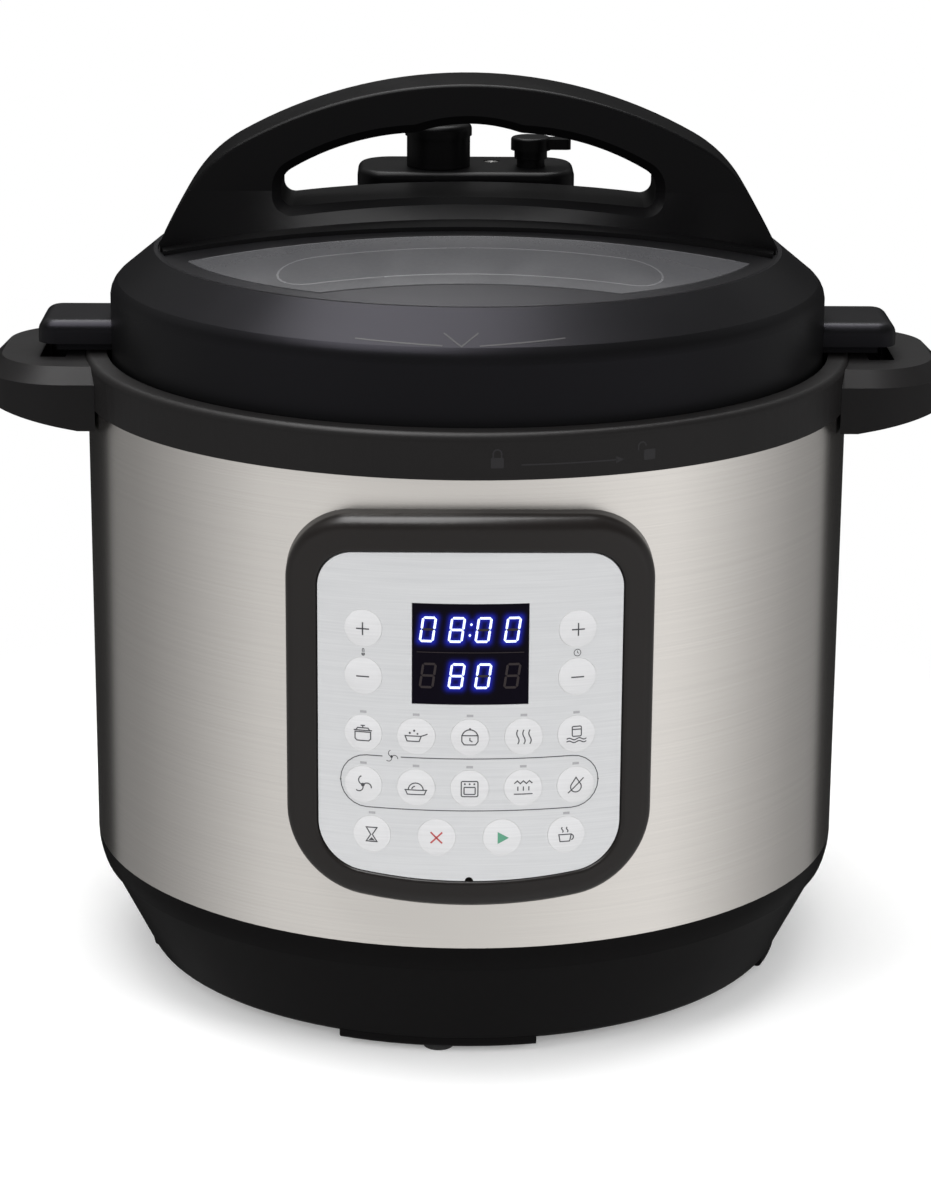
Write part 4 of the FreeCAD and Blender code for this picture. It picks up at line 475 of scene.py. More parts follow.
# marks are thin closed prints that follow the face they lie on
markSettings = {
    "lift": 0.05, "sink": 0.03, "step": 0.7, "stroke": 0.42,
    # degrees to a step of an arc, the limit on how far a corner widens, and steps between a patch's rings
    "arcStep": 14, "mitre": 0.5, "ringSteps": 1.5,
    # where the rays that find a face start: out from the axis, above and below, in metres
    "outside": 0.25, "above": 0.5, "below": -0.05,
}
up = Vector((0, 0, 1))


def faceTree(name):
    mesh = nodes[name].data
    corners = [v.co.copy() for v in mesh.vertices]
    return BVHTree.FromPolygons(corners, [tuple(p.vertices) for p in mesh.polygons])


# x runs right along an upright round face, y runs up it, both in millimetres
def uprightFace(tree, turn, height, radius, inward=False):
    def place(x, y):
        angle = math.radians(turn) + x / radius
        outward = Vector((math.sin(angle), -math.cos(angle), 0))
        level = up * ((height + y) * mm)
        if inward:
            return tree.ray_cast(level, outward)[0], -outward
        return tree.ray_cast(level + outward * markSettings["outside"], -outward)[0], outward
    return place


# x runs right along a sloped ring, y runs in towards the axis
def slopedFace(tree, turn, radius):
    def place(x, y):
        angle = math.radians(turn) + x / radius
        reach = (radius - y) * mm
        spot = Vector((math.sin(angle) * reach, -math.cos(angle) * reach, markSettings["above"]))
        return tree.ray_cast(spot, -up)[:2]
    return place


# x runs right and y to the back over a face seen from above
def topFace(tree):
    def place(x, y):
        return tree.ray_cast(Vector((x * mm, y * mm, markSettings["above"])), -up)[:2]
    return place


def undersideFace(tree, centre):
    def place(x, y):
        spot = Vector((centre[0] + x * mm, centre[1] + y * mm, markSettings["below"]))
        return tree.ray_cast(spot, up)[0], -up
    return place


def arcPoints(x, y, radius, start, end):
    count = max(3, int(abs(end - start) / markSettings["arcStep"]))
    angles = [math.radians(start + (end - start) * i / count) for i in range(count + 1)]
    return [(x + radius * math.cos(a), y + radius * math.sin(a)) for a in angles]


def roundedBox(halfWidth, low, high, corner):
    points = []
    inner = halfWidth - corner
    bottom, top = low + corner, high - corner
    for x, y, start in ((inner, bottom, -90), (inner, top, 0), (-inner, top, 90), (-inner, bottom, 180)):
        points += arcPoints(x, y, corner, start, start + 90)
    return points


def resample(points, step, closed):
    ends = points[1:] + points[:1] if closed else points[1:]
    result = []
    for (x0, y0), (x1, y1) in zip(points, ends):
        count = max(1, math.ceil(math.hypot(x1 - x0, y1 - y0) / step))
        result += [(x0 + (x1 - x0) * i / count, y0 + (y1 - y0) * i / count) for i in range(count)]
    return result if closed else result + [points[-1]]


def strokeEdges(points, width, closed):
    line = [Vector(p) for p in points]
    last = len(line) - 1
    left, right = [], []
    for i, spot in enumerate(line):
        before = line[i - 1] if i or closed else None
        after = line[(i + 1) % len(line)] if i < last or closed else None
        pairs = ((before, spot), (spot, after))
        runs = [(b - a).normalized() for a, b in pairs if a is not None and b is not None]
        along = (runs[0] + runs[-1]).normalized()
        across = Vector((-along.y, along.x)) * (width / 2 / max(markSettings["mitre"], along.dot(runs[0])))
        left.append(spot + across)
        right.append(spot - across)
    return left, right


def printedCorner(bm, place, spot, lift):
    hit, outward = place(spot[0], spot[1])
    top = bm.verts.new(hit + outward * (lift * mm))
    return top, bm.verts.new(hit - outward * (markSettings["sink"] * mm))


def addStroke(bm, points, place, width, closed=False, lift=markSettings["lift"]):
    spots = resample(points, markSettings["step"], closed)
    left, right = strokeEdges(spots, width, closed)
    rows = []
    for a, b in zip(left, right):
        rows.append(printedCorner(bm, place, a, lift) + printedCorner(bm, place, b, lift))
    following = rows[1:] + rows[:1] if closed else rows[1:]
    for (a, al, b, bl), (c, cl, d, dl) in zip(rows, following):
        for face in ((a, b, d, c), (al, cl, dl, bl), (a, c, cl, al), (b, bl, dl, d)):
            bm.faces.new(face)
    if not closed:
        for a, al, b, bl in (rows[0], rows[-1]):
            bm.faces.new((a, al, bl, b))


def addPatch(bm, points, place, lift=markSettings["lift"]):
    rim = resample(points, markSettings["step"], True)
    middle = Vector((sum(p[0] for p in rim) / len(rim), sum(p[1] for p in rim) / len(rim)))
    reach = max((Vector(p) - middle).length for p in rim)
    rings = max(1, math.ceil(reach / (markSettings["step"] * markSettings["ringSteps"])))
    rows = []
    for ring in range(1, rings + 1):
        rows.append([printedCorner(bm, place, middle.lerp(Vector(p), ring / rings), lift) for p in rim])
    top, low = printedCorner(bm, place, middle, lift)
    for i, corner in enumerate(rows[0]):
        after = rows[0][(i + 1) % len(rim)]
        bm.faces.new((top, corner[0], after[0]))
        bm.faces.new((low, after[1], corner[1]))
    for inner, outer in zip(rows, rows[1:]):
        for i in range(len(rim)):
            j = (i + 1) % len(rim)
            bm.faces.new((inner[i][0], outer[i][0], outer[j][0], inner[j][0]))
            bm.faces.new((inner[i][1], inner[j][1], outer[j][1], outer[i][1]))
    for i in range(len(rim)):
        j = (i + 1) % len(rim)
        bm.faces.new((rows[-1][i][0], rows[-1][i][1], rows[-1][j][1], rows[-1][j][0]))


def drawMark(bm, items, place, width):
    for item in items:
        if item[0] == "line":
            addStroke(bm, item[1], place, width)
        elif item[0] == "loop":
            addStroke(bm, item[1], place, width, closed=True)
        elif item[0] == "dot":
            addPatch(bm, arcPoints(*item[1:], 0, 345), place)
        else:
            addPatch(bm, item[1], place)


def finishMark(bm, name, finish, body):
    bmesh.ops.recalc_face_normals(bm, faces=bm.faces)
    mesh = bpy.data.meshes.new(name)
    bm.to_mesh(mesh)
    bm.free()
    mesh.materials.append(finishes[finish])
    piece = bpy.data.objects.new(name, mesh)
    scene.collection.objects.link(piece)
    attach(piece, body)
    return piece


def wave(x, low, high, swing=0.45):
    count = 10
    shares = [i / count for i in range(count + 1)]
    return [(x + swing * math.sin(s * 2 * math.pi), low + (high - low) * s) for s in shares]


def ripple(y, left, right, swing=0.35):
    count = 14
    shares = [i / count for i in range(count + 1)]
    return [(left + (right - left) * s, y + swing * math.sin(s * 4 * math.pi)) for s in shares]


def fanBlades(size):
    blades = [("dot", 0, 0, size * 0.22)]
    for turn in (90, 210, 330):
        a = math.radians(turn)
        middle = (size * 0.55 * math.cos(a), size * 0.55 * math.sin(a))
        blades.append(("line", arcPoints(*middle, size * 0.5, turn + 205, turn + 20)))
    return blades


potBody = [(-2.9, 0.7), (-2.9, -1.9), (-2.2, -2.6), (2.2, -2.6), (2.9, -1.9), (2.9, 0.7)]
levelBar = ("line", [(-2.4, 0), (2.4, 0)])
uprightBar = ("line", [(0, -2.4), (0, 2.4)])
dropEdge = [(0, 3.0)] + arcPoints(0, -0.6, 2.0, 150, 390)

keyMarks = {
    "temp_up": [levelBar, uprightBar],
    "time_up": [levelBar, uprightBar],
    "temp_down": [levelBar],
    "time_down": [levelBar],
    "pressure_cook": [
        ("loop", potBody), ("line", [(-3.4, 1.3), (3.4, 1.3)]),
        ("line", [(-2.6, 1.3), (-1.9, 2.2), (1.9, 2.2), (2.6, 1.3)]),
        ("line", [(0, 2.2), (0, 3.1)]), ("line", [(-0.8, 3.1), (0.8, 3.1)]),
    ],
    "saute": [
        ("loop", [(-3.9, 0.3), (-3.2, -1.7), (1.2, -1.7), (1.9, 0.3)]), ("line", [(1.9, 0.3), (4.2, 1.1)]),
        ("dot", -2.2, 1.4, 0.4), ("dot", -0.6, 2.3, 0.4), ("dot", 0.6, 1.2, 0.35),
    ],
    "slow_cook": [
        ("loop", [(-2.9, 0.9), (-2.9, -1.4), (-2.0, -2.6), (2.0, -2.6), (2.9, -1.4), (2.9, 0.9)]),
        ("line", arcPoints(0, 0.2, 2.9, 166, 14)), ("dot", 0, 3.4, 0.35),
        ("line", [(0, 0.1), (0, -0.9), (0.9, -1.5)]),
    ],
    "steam": [("line", wave(x, -2.6, 2.8)) for x in (-2.2, 0.0, 2.2)],
    "sous_vide": [
        ("loop", roundedBox(1.7, -0.7, 3.0, 0.5)), ("line", [(-1.7, 1.9), (1.7, 1.9)]),
        ("line", ripple(-1.7, -3.7, 3.7)), ("line", ripple(-2.8, -3.7, 3.7)),
    ],
    "air_fry": fanBlades(3.2),
    "roast": [
        ("line", [(-3.8, -0.8), (-3.1, -2.5), (3.1, -2.5), (3.8, -0.8)]),
        ("line", [(-4.1, -0.8), (4.1, -0.8)]),
        ("line", arcPoints(0, -0.8, 2.7, 180, 0)), ("line", arcPoints(0, -0.8, 1.5, 165, 100)),
    ],
    "bake": [
        ("loop", roundedBox(3.0, -2.9, 2.9, 0.6)), ("loop", roundedBox(2.0, -2.0, 0.7, 0.3)),
        ("dot", -1.7, 1.9, 0.35), ("dot", 0, 1.9, 0.35), ("dot", 1.7, 1.9, 0.35),
    ],
    "broil": [
        ("line", [(-3.3, 1.8), (-2.2, 2.8), (-1.1, 1.8), (0, 2.8), (1.1, 1.8), (2.2, 2.8), (3.3, 1.8)]),
        ("line", [(-2, 0.7), (-2, -0.9)]), ("line", [(0, 0.7), (0, -0.9)]), ("line", [(2, 0.7), (2, -0.9)]),
        ("line", [(-3.4, -2.2), (3.4, -2.2)]),
    ],
    "dehydrate": [("loop", dropEdge), ("line", [(-2.9, -2.9), (2.9, 2.7)])],
    "delay_start": [
        ("loop", [(-2.0, 2.7), (2.0, 2.7), (0.3, 0), (2.0, -2.7), (-2.0, -2.7), (-0.3, 0)]),
        ("patch", [(-1.2, -2.3), (1.2, -2.3), (0, -1.1)]),
    ],
    "cancel": [("line", [(-2.1, -2.1), (2.1, 2.1)]), ("line", [(-2.1, 2.1), (2.1, -2.1)])],
    "start": [("patch", [(-1.6, -2.3), (2.5, 0), (-1.6, 2.3)])],
    "keep_warm": [
        ("loop", [(-2.9, 0.2), (-2.4, -2.5), (1.2, -2.5), (1.7, 0.2)]),
        ("line", arcPoints(1.5, -1.0, 1.1, 70, -75)),
        ("line", wave(-1.6, 1.0, 3.0, 0.3)), ("line", wave(0.2, 1.0, 3.0, 0.3)),
    ],
}


# keys in a row stand evenly about the middle, the given degrees apart
def keyTurns(step, *names):
    middle = (len(names) - 1) / 2
    return [((i - middle) * step, name) for i, name in enumerate(names)]


keyRadius = 160.0
keyStep = 6.95
keyRows = [
    # height, then turns and names from the left
    (176.9, keyTurns(4 * keyStep, "temp_up", "time_up")),
    (159.1, keyTurns(4 * keyStep, "temp_down", "time_down")),
    (137.5, keyTurns(keyStep, "pressure_cook", "saute", "slow_cook", "steam", "sous_vide")),
    (118.1, keyTurns(keyStep, "air_fry", "roast", "bake", "broil", "dehydrate")),
    (99.3, keyTurns(8.5, "delay_start", "cancel", "start", "keep_warm")),
]
keyInks = {
    "cancel": ("redInk", 0.6), "start": ("greenInk", 0.42),
    "temp_up": ("darkInkAndSlotShade", 0.5), "time_up": ("darkInkAndSlotShade", 0.5),
    "temp_down": ("darkInkAndSlotShade", 0.5), "time_down": ("darkInkAndSlotShade", 0.5),
}


def markKeys():
    for height, keys in keyRows:
        for turn, name in keys:
            place = uprightFace(faceTree(f"{name}_key"), turn, height, keyRadius)
            ink, width = keyInks.get(name, ("darkInkAndSlotShade", markSettings["stroke"]))
            bm = bmesh.new()
            drawMark(bm, keyMarks[name], place, width)
            finishMark(bm, f"{name}_mark", ink, f"{name}_button")


keyLip = {"faceRadius": 159.3, "inner": 6.96, "outer": 7.22, "sink": 0.02, "depth": 0.9, "corners": 48}


# a thin pale lip of the front film in the gap round each key
def lipKeys(settings):
    bm = bmesh.new()
    levels = (settings["faceRadius"] - settings["sink"], settings["faceRadius"] - settings["depth"])
    profile = ((settings["inner"], levels[0]), (settings["outer"], levels[0]),
               (settings["outer"], levels[1]), (settings["inner"], levels[1]))
    for height, keys in keyRows:
        for turn, _ in keys:
            a = math.radians(turn)
            outward = Vector((math.sin(a), -math.cos(a), 0))
            right = Vector((math.cos(a), math.sin(a), 0))
            rows = []
            for i in range(settings["corners"]):
                b = 2 * math.pi * i / settings["corners"]
                row = []
                for reach, level in profile:
                    x = reach * math.cos(b)
                    spot = outward * math.sqrt(level ** 2 - x ** 2) + right * x
                    row.append(bm.verts.new((spot + up * (height + reach * math.sin(b))) * mm))
                rows.append(row)
            for row, after in zip(rows, rows[1:] + rows[:1]):
                for j in range(len(profile)):
                    bm.faces.new((row[j], after[j], after[j - 3], row[j - 3]))
    finishMark(bm, "key_lips", "keyFilm", "cooker_base")


panelPrint = {
    "radius": 159.3, "labelHeight": 168.0, "labelTurn": 13.9, "labelStroke": 0.26,
    "pillHeight": (109.5, 129.3), "pillReach": 47.25, "pillCorner": 9.9, "pillStroke": 0.35,
    "pillGap": (-31.6, -24.9), "fanSize": 2.3,
}


stem = [(0.32, -0.4)] + arcPoints(0, 0.95, 0.32, 0, 180) + [(-0.32, -0.4)]
thermometer = [("loop", stem + arcPoints(0, -0.75, 0.5, 130, 410)), ("dot", 0, -0.75, 0.28)]
clock = [("loop", arcPoints(0, 0, 1.25, 0, 345)), ("line", [(0, 0.75), (0, 0), (0.55, -0.3)])]


# a thermometer and a clock between the plus and minus keys, and a line with a fan round the hot-air keys
def printPanel(settings):
    tree = faceTree("faceplate")
    bm = bmesh.new()
    for turn, items in ((-settings["labelTurn"], thermometer), (settings["labelTurn"], clock)):
        place = uprightFace(tree, turn, settings["labelHeight"], settings["radius"])
        drawMark(bm, items, place, settings["labelStroke"])
    low, high = settings["pillHeight"]
    loop = roundedBox(settings["pillReach"], low, high, settings["pillCorner"])
    gapLeft, gapRight = settings["pillGap"]
    start = next(i for i, (x, y) in enumerate(loop) if x < gapLeft and y == max(p[1] for p in loop))
    line = [(gapLeft, high)] + loop[start:] + loop[:start] + [(gapRight, high)]
    place = uprightFace(tree, 0, 0, settings["radius"])
    addStroke(bm, line, place, settings["pillStroke"])
    middle = math.degrees((gapLeft + gapRight) / 2 / settings["radius"])
    place = uprightFace(tree, middle, high, settings["radius"])
    drawMark(bm, fanBlades(settings["fanSize"]), place, settings["labelStroke"])
    finishMark(bm, "panel_print", "darkInkAndSlotShade", "cooker_base")


# a row of small plates round the upright axis, facing out
def makeArcRow():
    tree = bpy.data.node_groups.new("arcRow", "GeometryNodeTree")
    wanted = (
        ("Count", "Int", 5), ("Radius", "Float", 0.1), ("StartAngle", "Float", 0.0),
        ("StepAngle", "Float", 0.1), ("Height", "Float", 0.1), ("Width", "Float", 0.002),
        ("Tall", "Float", 0.001), ("Depth", "Float", 0.0001), ("Finish", "Material", None),
    )
    tree.interface.new_socket("Geometry", in_out="INPUT", socket_type="NodeSocketGeometry")
    for label, kind, value in wanted:
        socket = tree.interface.new_socket(label, in_out="INPUT", socket_type=f"NodeSocket{kind}")
        if value is not None:
            socket.default_value = value
    tree.interface.new_socket("Geometry", in_out="OUTPUT", socket_type="NodeSocketGeometry")
    start = tree.nodes.new("NodeGroupInput")
    end = tree.nodes.new("NodeGroupOutput")
    given = {label: start.outputs[label] for label, _, _ in wanted}
    row = addNode(tree, "GeometryNodeMeshLine", {"Count": given["Count"]}, mode="OFFSET")
    place = addNode(tree, "GeometryNodeInputIndex")
    turned = addMath(tree, "MULTIPLY_ADD", place.outputs[0], given["StepAngle"], given["StartAngle"])
    across = addMath(tree, "MULTIPLY", addMath(tree, "SINE", turned), given["Radius"])
    behind = addMath(tree, "MULTIPLY", addMath(tree, "COSINE", turned), given["Radius"])
    ahead = addMath(tree, "MULTIPLY", behind, -1.0)
    spot = addNode(tree, "ShaderNodeCombineXYZ", {"X": across, "Y": ahead, "Z": given["Height"]})
    sockets = {"Geometry": row.outputs["Mesh"], "Position": spot.outputs[0]}
    placed = addNode(tree, "GeometryNodeSetPosition", sockets)
    sockets = {"X": given["Width"], "Y": given["Depth"], "Z": given["Tall"]}
    size = addNode(tree, "ShaderNodeCombineXYZ", sockets)
    plate = addNode(tree, "GeometryNodeMeshCube", {"Vertices X": 5, "Size": size.outputs[0]})
    turn = addNode(tree, "ShaderNodeCombineXYZ", {"Z": turned})
    copies = addNode(tree, "GeometryNodeInstanceOnPoints", {
        "Points": placed.outputs[0], "Instance": plate.outputs["Mesh"], "Rotation": turn.outputs[0],
    })
    real = addNode(tree, "GeometryNodeRealizeInstances", {0: copies.outputs[0]})
    sockets = {"Geometry": real.outputs[0], "Material": given["Finish"]}
    dressed = addNode(tree, "GeometryNodeSetMaterial", sockets)
    tree.links.new(dressed.outputs[0], end.inputs["Geometry"])
    return tree


def arcRowMesh(tree, name, values):
    holder = bpy.data.objects.new(name, bpy.data.meshes.new(name))
    scene.collection.objects.link(holder)
    modifier = holder.modifiers.new("arcRow", "NODES")
    modifier.node_group = tree
    for item in tree.interface.items_tree:
        if item.item_type == "SOCKET" and item.in_out == "INPUT" and item.name in values:
            modifier[item.identifier] = values[item.name]
    bpy.context.view_layer.update()
    built = holder.evaluated_get(bpy.context.evaluated_depsgraph_get())
    mesh = bpy.data.meshes.new_from_object(built)
    bpy.data.objects.remove(holder)
    return mesh


lampSizes = {"Radius": 0.1593, "Width": 0.0024, "Tall": 0.0009, "Depth": 0.00012}
lampRows = {
    "upper_lamps": {"Count": 5, "Height": 0.1456, "StartAngle": -2 * keyStep, "StepAngle": keyStep},
    "middle_lamps": {"Count": 5, "Height": 0.1262, "StartAngle": -2 * keyStep, "StepAngle": keyStep},
    "lower_lamps": {"Count": 2, "Height": 0.1074, "StartAngle": -12.75, "StepAngle": 25.5},
}


def addArcRow(tree, name, finish, body, **values):
    angles = {label: math.radians(values.pop(label)) for label in ("StartAngle", "StepAngle")}
    mesh = arcRowMesh(tree, name, {**values, **angles, "Finish": finishes[finish]})
    piece = bpy.data.objects.new(name, mesh)
    scene.collection.objects.link(piece)
    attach(piece, body)


displaySettings = {
    "radius": 159.3, "height": 168.5, "halfWidth": 20.2, "halfTall": 18.1,
    "digitWidth": 4.5, "digitTall": 8.7, "stroke": 0.85, "slant": 8,
    "columns": (-15.2, -4.9, 4.6, 15.0), "rows": (9.2, -8.0), "lit": ("0800", " 80 "),
    # the gap at a bar's ends as a share of its width, and the colon's dots: how far out, and half height
    "trim": 0.12, "colon": (2.0, 0.55),
    "divider": 0.7, "dividerInset": 1.0, "dividerStroke": 0.25,
    "haloReach": 1.3, "haloCells": (54, 48), "haloColor": (0.012, 0.02, 0.4),
    "haloLift": 0.02, "ghostLift": 0.04, "litLift": 0.05,
}
segmentEnds = {
    "a": ((-1, 1), (1, 1)), "b": ((1, 1), (1, 0)), "c": ((1, 0), (1, -1)), "d": ((-1, -1), (1, -1)),
    "e": ((-1, 0), (-1, -1)), "f": ((-1, 1), (-1, 0)), "g": ((-1, 0), (1, 0)),
}
litSegments = {"0": "abcdef", "8": "abcdefg", " ": ""}


# both ends of every bar of the digits, with whether it is lit
def displayBars(settings):
    bars = []
    lean = math.tan(math.radians(settings["slant"]))
    for row, digits in zip(settings["rows"], settings["lit"]):
        for column, digit in zip(settings["columns"], digits):
            for name, ends in segmentEnds.items():
                spots = []
                for side, level in ends:
                    y = level * settings["digitTall"] / 2
                    spots.append(Vector((column + side * settings["digitWidth"] / 2 + y * lean, row + y)))
                trim = (spots[1] - spots[0]).normalized() * settings["stroke"] * settings["trim"]
                bars.append((spots[0] + trim, spots[1] - trim, name in litSegments[digit]))
    level = settings["rows"][0]
    offset, half = settings["colon"]
    for y in (-offset, offset):
        spots = [Vector((reach * lean, level + reach)) for reach in (y - half, y + half)]
        bars.append((*spots, True))
    return bars


def barOutline(start, end, width):
    along = (end - start).normalized() * (width / 2)
    across = Vector((-along.y, along.x))
    near, far = start + along, end - along
    return [start, near + across, far + across, end, far - across, near - across]


def barDistance(spot, start, end):
    run = end - start
    share = min(1, max(0, (spot - start).dot(run) / run.length_squared))
    return (spot - start - run * share).length


# the glass is dark, with blue light spread round the lit bars
def makeHaloFinish(color):
    material = makeFinish("displayHalo", finishSettings["displayGlass"])
    tree = material.node_tree
    skin = next(node for node in tree.nodes if node.type == "BSDF_PRINCIPLED")
    halo = addNode(tree, "ShaderNodeAttribute", attribute_name="halo")
    blue = mixColors(tree, halo.outputs["Fac"], (0, 0, 0), color)
    tree.links.new(blue, skin.inputs["Emission Color"])
    skin.inputs["Emission Strength"].default_value = 1.0
    return material


def printDisplay(settings):
    place = uprightFace(faceTree("display_window"), 0, settings["height"], settings["radius"])
    bars = displayBars(settings)
    lit = [(start, end) for start, end, isLit in bars if isLit]
    columns, rows = settings["haloCells"]
    bm = bmesh.new()
    halo = bm.verts.layers.float.new("halo")
    grid = {}
    for i in range(columns + 1):
        for j in range(rows + 1):
            x = (i / columns * 2 - 1) * settings["halfWidth"]
            spot = Vector((x, (j / rows * 2 - 1) * settings["halfTall"]))
            grid[i, j] = printedCorner(bm, place, spot, settings["haloLift"])
            nearest = min(barDistance(spot, *bar) for bar in lit)
            grid[i, j][0][halo] = math.exp(-(nearest / settings["haloReach"]) ** 2)
    for i in range(columns):
        for j in range(rows):
            corners = (grid[i, j], grid[i + 1, j], grid[i + 1, j + 1], grid[i, j + 1])
            bm.faces.new([corner[0] for corner in corners])
            bm.faces.new([corner[1] for corner in reversed(corners)])
    rim = [(i, 0) for i in range(columns)] + [(columns, j) for j in range(rows)]
    rim += [(columns - i, rows) for i in range(columns)] + [(0, rows - j) for j in range(rows)]
    for here, after in zip(rim, rim[1:] + rim[:1]):
        bm.faces.new((grid[here][1], grid[after][1], grid[after][0], grid[here][0]))
    finishes["displayHalo"] = makeHaloFinish(settings["haloColor"])
    finishMark(bm, "display_halo", "displayHalo", "cooker_base")

    kinds = (
        ("display_digits", "litSegment", True, settings["litLift"]),
        ("display_ghosts", "ghostSegment", False, settings["ghostLift"]),
    )
    for name, finish, wanted, lift in kinds:
        bm = bmesh.new()
        for start, end, isLit in bars:
            if isLit == wanted:
                addPatch(bm, barOutline(start, end, settings["stroke"]), place, lift)
        if not wanted:
            reach = settings["halfWidth"] - settings["dividerInset"]
            line = [(side * reach, settings["divider"]) for side in (-1, 1)]
            addStroke(bm, line, place, settings["dividerStroke"], lift=lift)
        finishMark(bm, name, finish, "cooker_base")


ringEdge = {
    "radius": 149.8, "top": 247.0, "round": 2.5, "skirt": 0.4, "lift": 0.05, "sink": 0.3,
    "turns": 180, "steps": 12,
}


# a thin smooth skin on the rounded top edge of the ring, whose own mesh is uneven there
def coverRingEdge(settings):
    def edgeLine(reach):
        level = settings["top"] - settings["round"]
        middle = settings["radius"] - settings["round"]
        reach += settings["round"]
        turns = [math.pi / 2 * i / settings["steps"] for i in range(settings["steps"] + 1)]
        line = [(middle + reach * math.cos(a), level + reach * math.sin(a)) for a in turns]
        skirt = settings["skirt"]
        return [(middle + reach, level - skirt)] + line + [(middle - skirt, level + reach)]

    profile = edgeLine(settings["lift"]) + edgeLine(-settings["sink"])[::-1]
    bm = bmesh.new()
    rows = []
    for i in range(settings["turns"]):
        a = 2 * math.pi * i / settings["turns"]
        rows.append([bm.verts.new((r * mm * math.cos(a), r * mm * math.sin(a), z * mm)) for r, z in profile])
    for row, after in zip(rows, rows[1:] + rows[:1]):
        for j in range(len(profile)):
            k = (j + 1) % len(profile)
            bm.faces.new((row[j], after[j], after[k], row[k])).smooth = True
    finishMark(bm, "ring_edge", "ringMoulding", "cooker_base")


ringMarks = {
    "radius": 149.8, "height": 238.0, "stroke": 0.5, "closedTurn": 3.5, "openTurn": 25.2, "openShift": 3,
    # the arrow's ends in degrees, its drop below the locks, and its head's length, overlap and half width
    "arrow": (6.8, 21.3), "arrowDrop": 2.5, "arrowHead": (3, 0.8, 1.3),
}
lockBody = ("patch", roundedBox(2.3, -3.6, 0.2, 0.5))
shackle = [(-1.5, 0.2), (-1.5, 1.6)] + arcPoints(0, 1.6, 1.5, 180, 0) + [(1.5, 1.6)]


# a closed lock, an arrow along the ring and an open lock
def markRing(settings):
    tree = faceTree("upper_ring")
    bm = bmesh.new()
    place = uprightFace(tree, settings["closedTurn"], settings["height"], settings["radius"])
    drawMark(bm, [lockBody, ("line", shackle + [(1.5, 0.2)])], place, settings["stroke"])
    place = uprightFace(tree, settings["openTurn"], settings["height"], settings["radius"])
    opened = [(x - settings["openShift"], y) for x, y in shackle]
    drawMark(bm, [lockBody, ("line", opened)], place, settings["stroke"])
    start, end = (math.radians(turn) * settings["radius"] for turn in settings["arrow"])
    length, overlap, half = settings["arrowHead"]
    neck = end - length
    place = uprightFace(tree, 0, settings["height"] - settings["arrowDrop"], settings["radius"])
    addStroke(bm, [(start, 0), (neck + overlap, 0)], place, settings["stroke"])
    addPatch(bm, [(end, 0), (neck, half), (neck, -half)], place)
    finishMark(bm, "ring_marks", "markLine", "cooker_base")


slopeMark = {
    "radius": 135.0, "stroke": 0.5,
    "lines": (((-17.9, 134.7), (-4.4, 136.0)), ((1.2, 136.0), (14.4, 133.9))),
    "notch": ((-4.3, 131.5), (-1.55, 136.2), (1.05, 131.4)),
}


# the line on the lid's slope that shows where it points, with a notch in its middle
def markSlope(settings):
    place = slopedFace(faceTree("lid_cover"), 0, settings["radius"])
    bm = bmesh.new()
    for line in (*settings["lines"], settings["notch"]):
        radius = settings["radius"]
        spots = [(math.radians(turn) * radius, radius - reach) for turn, reach in line]
        addStroke(bm, spots, place, settings["stroke"])
    finishMark(bm, "slope_mark", "markLine", "lid")


lensRidgeAndHighlight = {
    "halfWidth": 71.0, "front": -92.0, "back": -65.5, "corner": 13.0, "stroke": 0.8,
    "edgeBow": 605.0, "edgeBack": -51.6, "edgeHalf": 101.0, "edgeSteps": 40, "edgeStroke": 0.7,
}


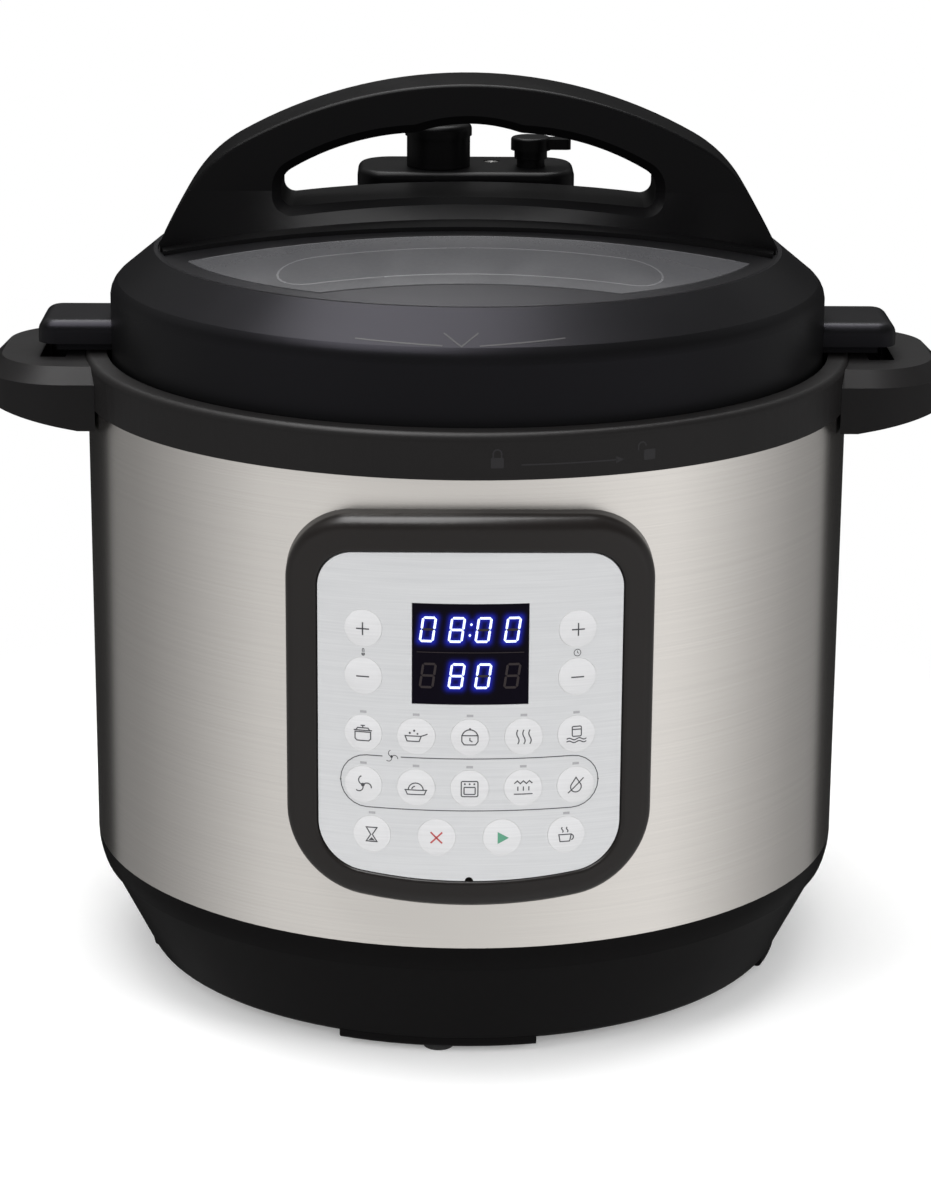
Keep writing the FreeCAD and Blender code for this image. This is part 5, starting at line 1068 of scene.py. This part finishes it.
# the real ridge under the lid's gloss insert and the insert's back edge, both drawn as pale lines of painted
# highlight
def paintLensRidgeAndHighlight(settings):
    place = topFace(faceTree("lid_panel"))
    bm = bmesh.new()
    ridge = roundedBox(settings["halfWidth"], settings["front"], settings["back"], settings["corner"])
    addStroke(bm, ridge, place, settings["stroke"], closed=True)
    bow = settings["edgeBow"]
    steps = settings["edgeSteps"]
    edge = []
    for i in range(steps + 1):
        x = settings["edgeHalf"] * (2 * i / steps - 1)
        edge.append((x, settings["edgeBack"] + bow - math.sqrt(bow * bow - x * x)))
    addStroke(bm, edge, place, settings["edgeStroke"])
    finishMark(bm, "lens_ridge_and_highlight", "lensHighlightLine", "lid")


potLines = {
    "radius": 128.0, "turn": 180, "long": 13.0, "short": 6.0, "stroke": 0.5,
    "heights": (95, 110, 125, 140, 155, 170, 185),
}


# etched filling lines on the pot's back wall, long and short in turn
def markPot(settings):
    place = uprightFace(faceTree("inner_pot"), settings["turn"], 0, settings["radius"], inward=True)
    bm = bmesh.new()
    for i, height in enumerate(settings["heights"]):
        reach = settings["short"] if i % 2 else settings["long"]
        addStroke(bm, [(-reach, height), (reach, height)], place, settings["stroke"])
    addStroke(bm, [(0, settings["heights"][0]), (0, settings["heights"][-1])], place, settings["stroke"])
    finishMark(bm, "pot_lines", "greyMark", "cooker_base")


screwSlotShade = {"circle": 0.095, "turns": (30, 150, 270), "reach": 2.4, "stroke": 0.9}


# the screws' cross slots as painted shade: dark strokes on the heads stand in for the shadow in the recesses
def paintScrewSlotShade(settings):
    tree = faceTree("base_screws")
    bm = bmesh.new()
    for turn in settings["turns"]:
        a = math.radians(turn)
        place = undersideFace(tree, (settings["circle"] * math.cos(a), settings["circle"] * math.sin(a)))
        reach = settings["reach"]
        addStroke(bm, [(-reach, 0), (reach, 0)], place, settings["stroke"])
        addStroke(bm, [(0, -reach), (0, reach)], place, settings["stroke"])
    finishMark(bm, "screw_slot_shade", "darkInkAndSlotShade", "cooker_base")


lipKeys(keyLip)
markKeys()
print("keys marked")
printPanel(panelPrint)
lampTree = makeArcRow()
for name, values in lampRows.items():
    addArcRow(lampTree, name, "greyMark", "cooker_base", **lampSizes, **values)
print("panel printed")
printDisplay(displaySettings)
print("display lit")
coverRingEdge(ringEdge)
markRing(ringMarks)
markSlope(slopeMark)
paintLensRidgeAndHighlight(lensRidgeAndHighlight)
markPot(potLines)
paintScrewSlotShade(screwSlotShade)
print("lid, ring and pot marked")
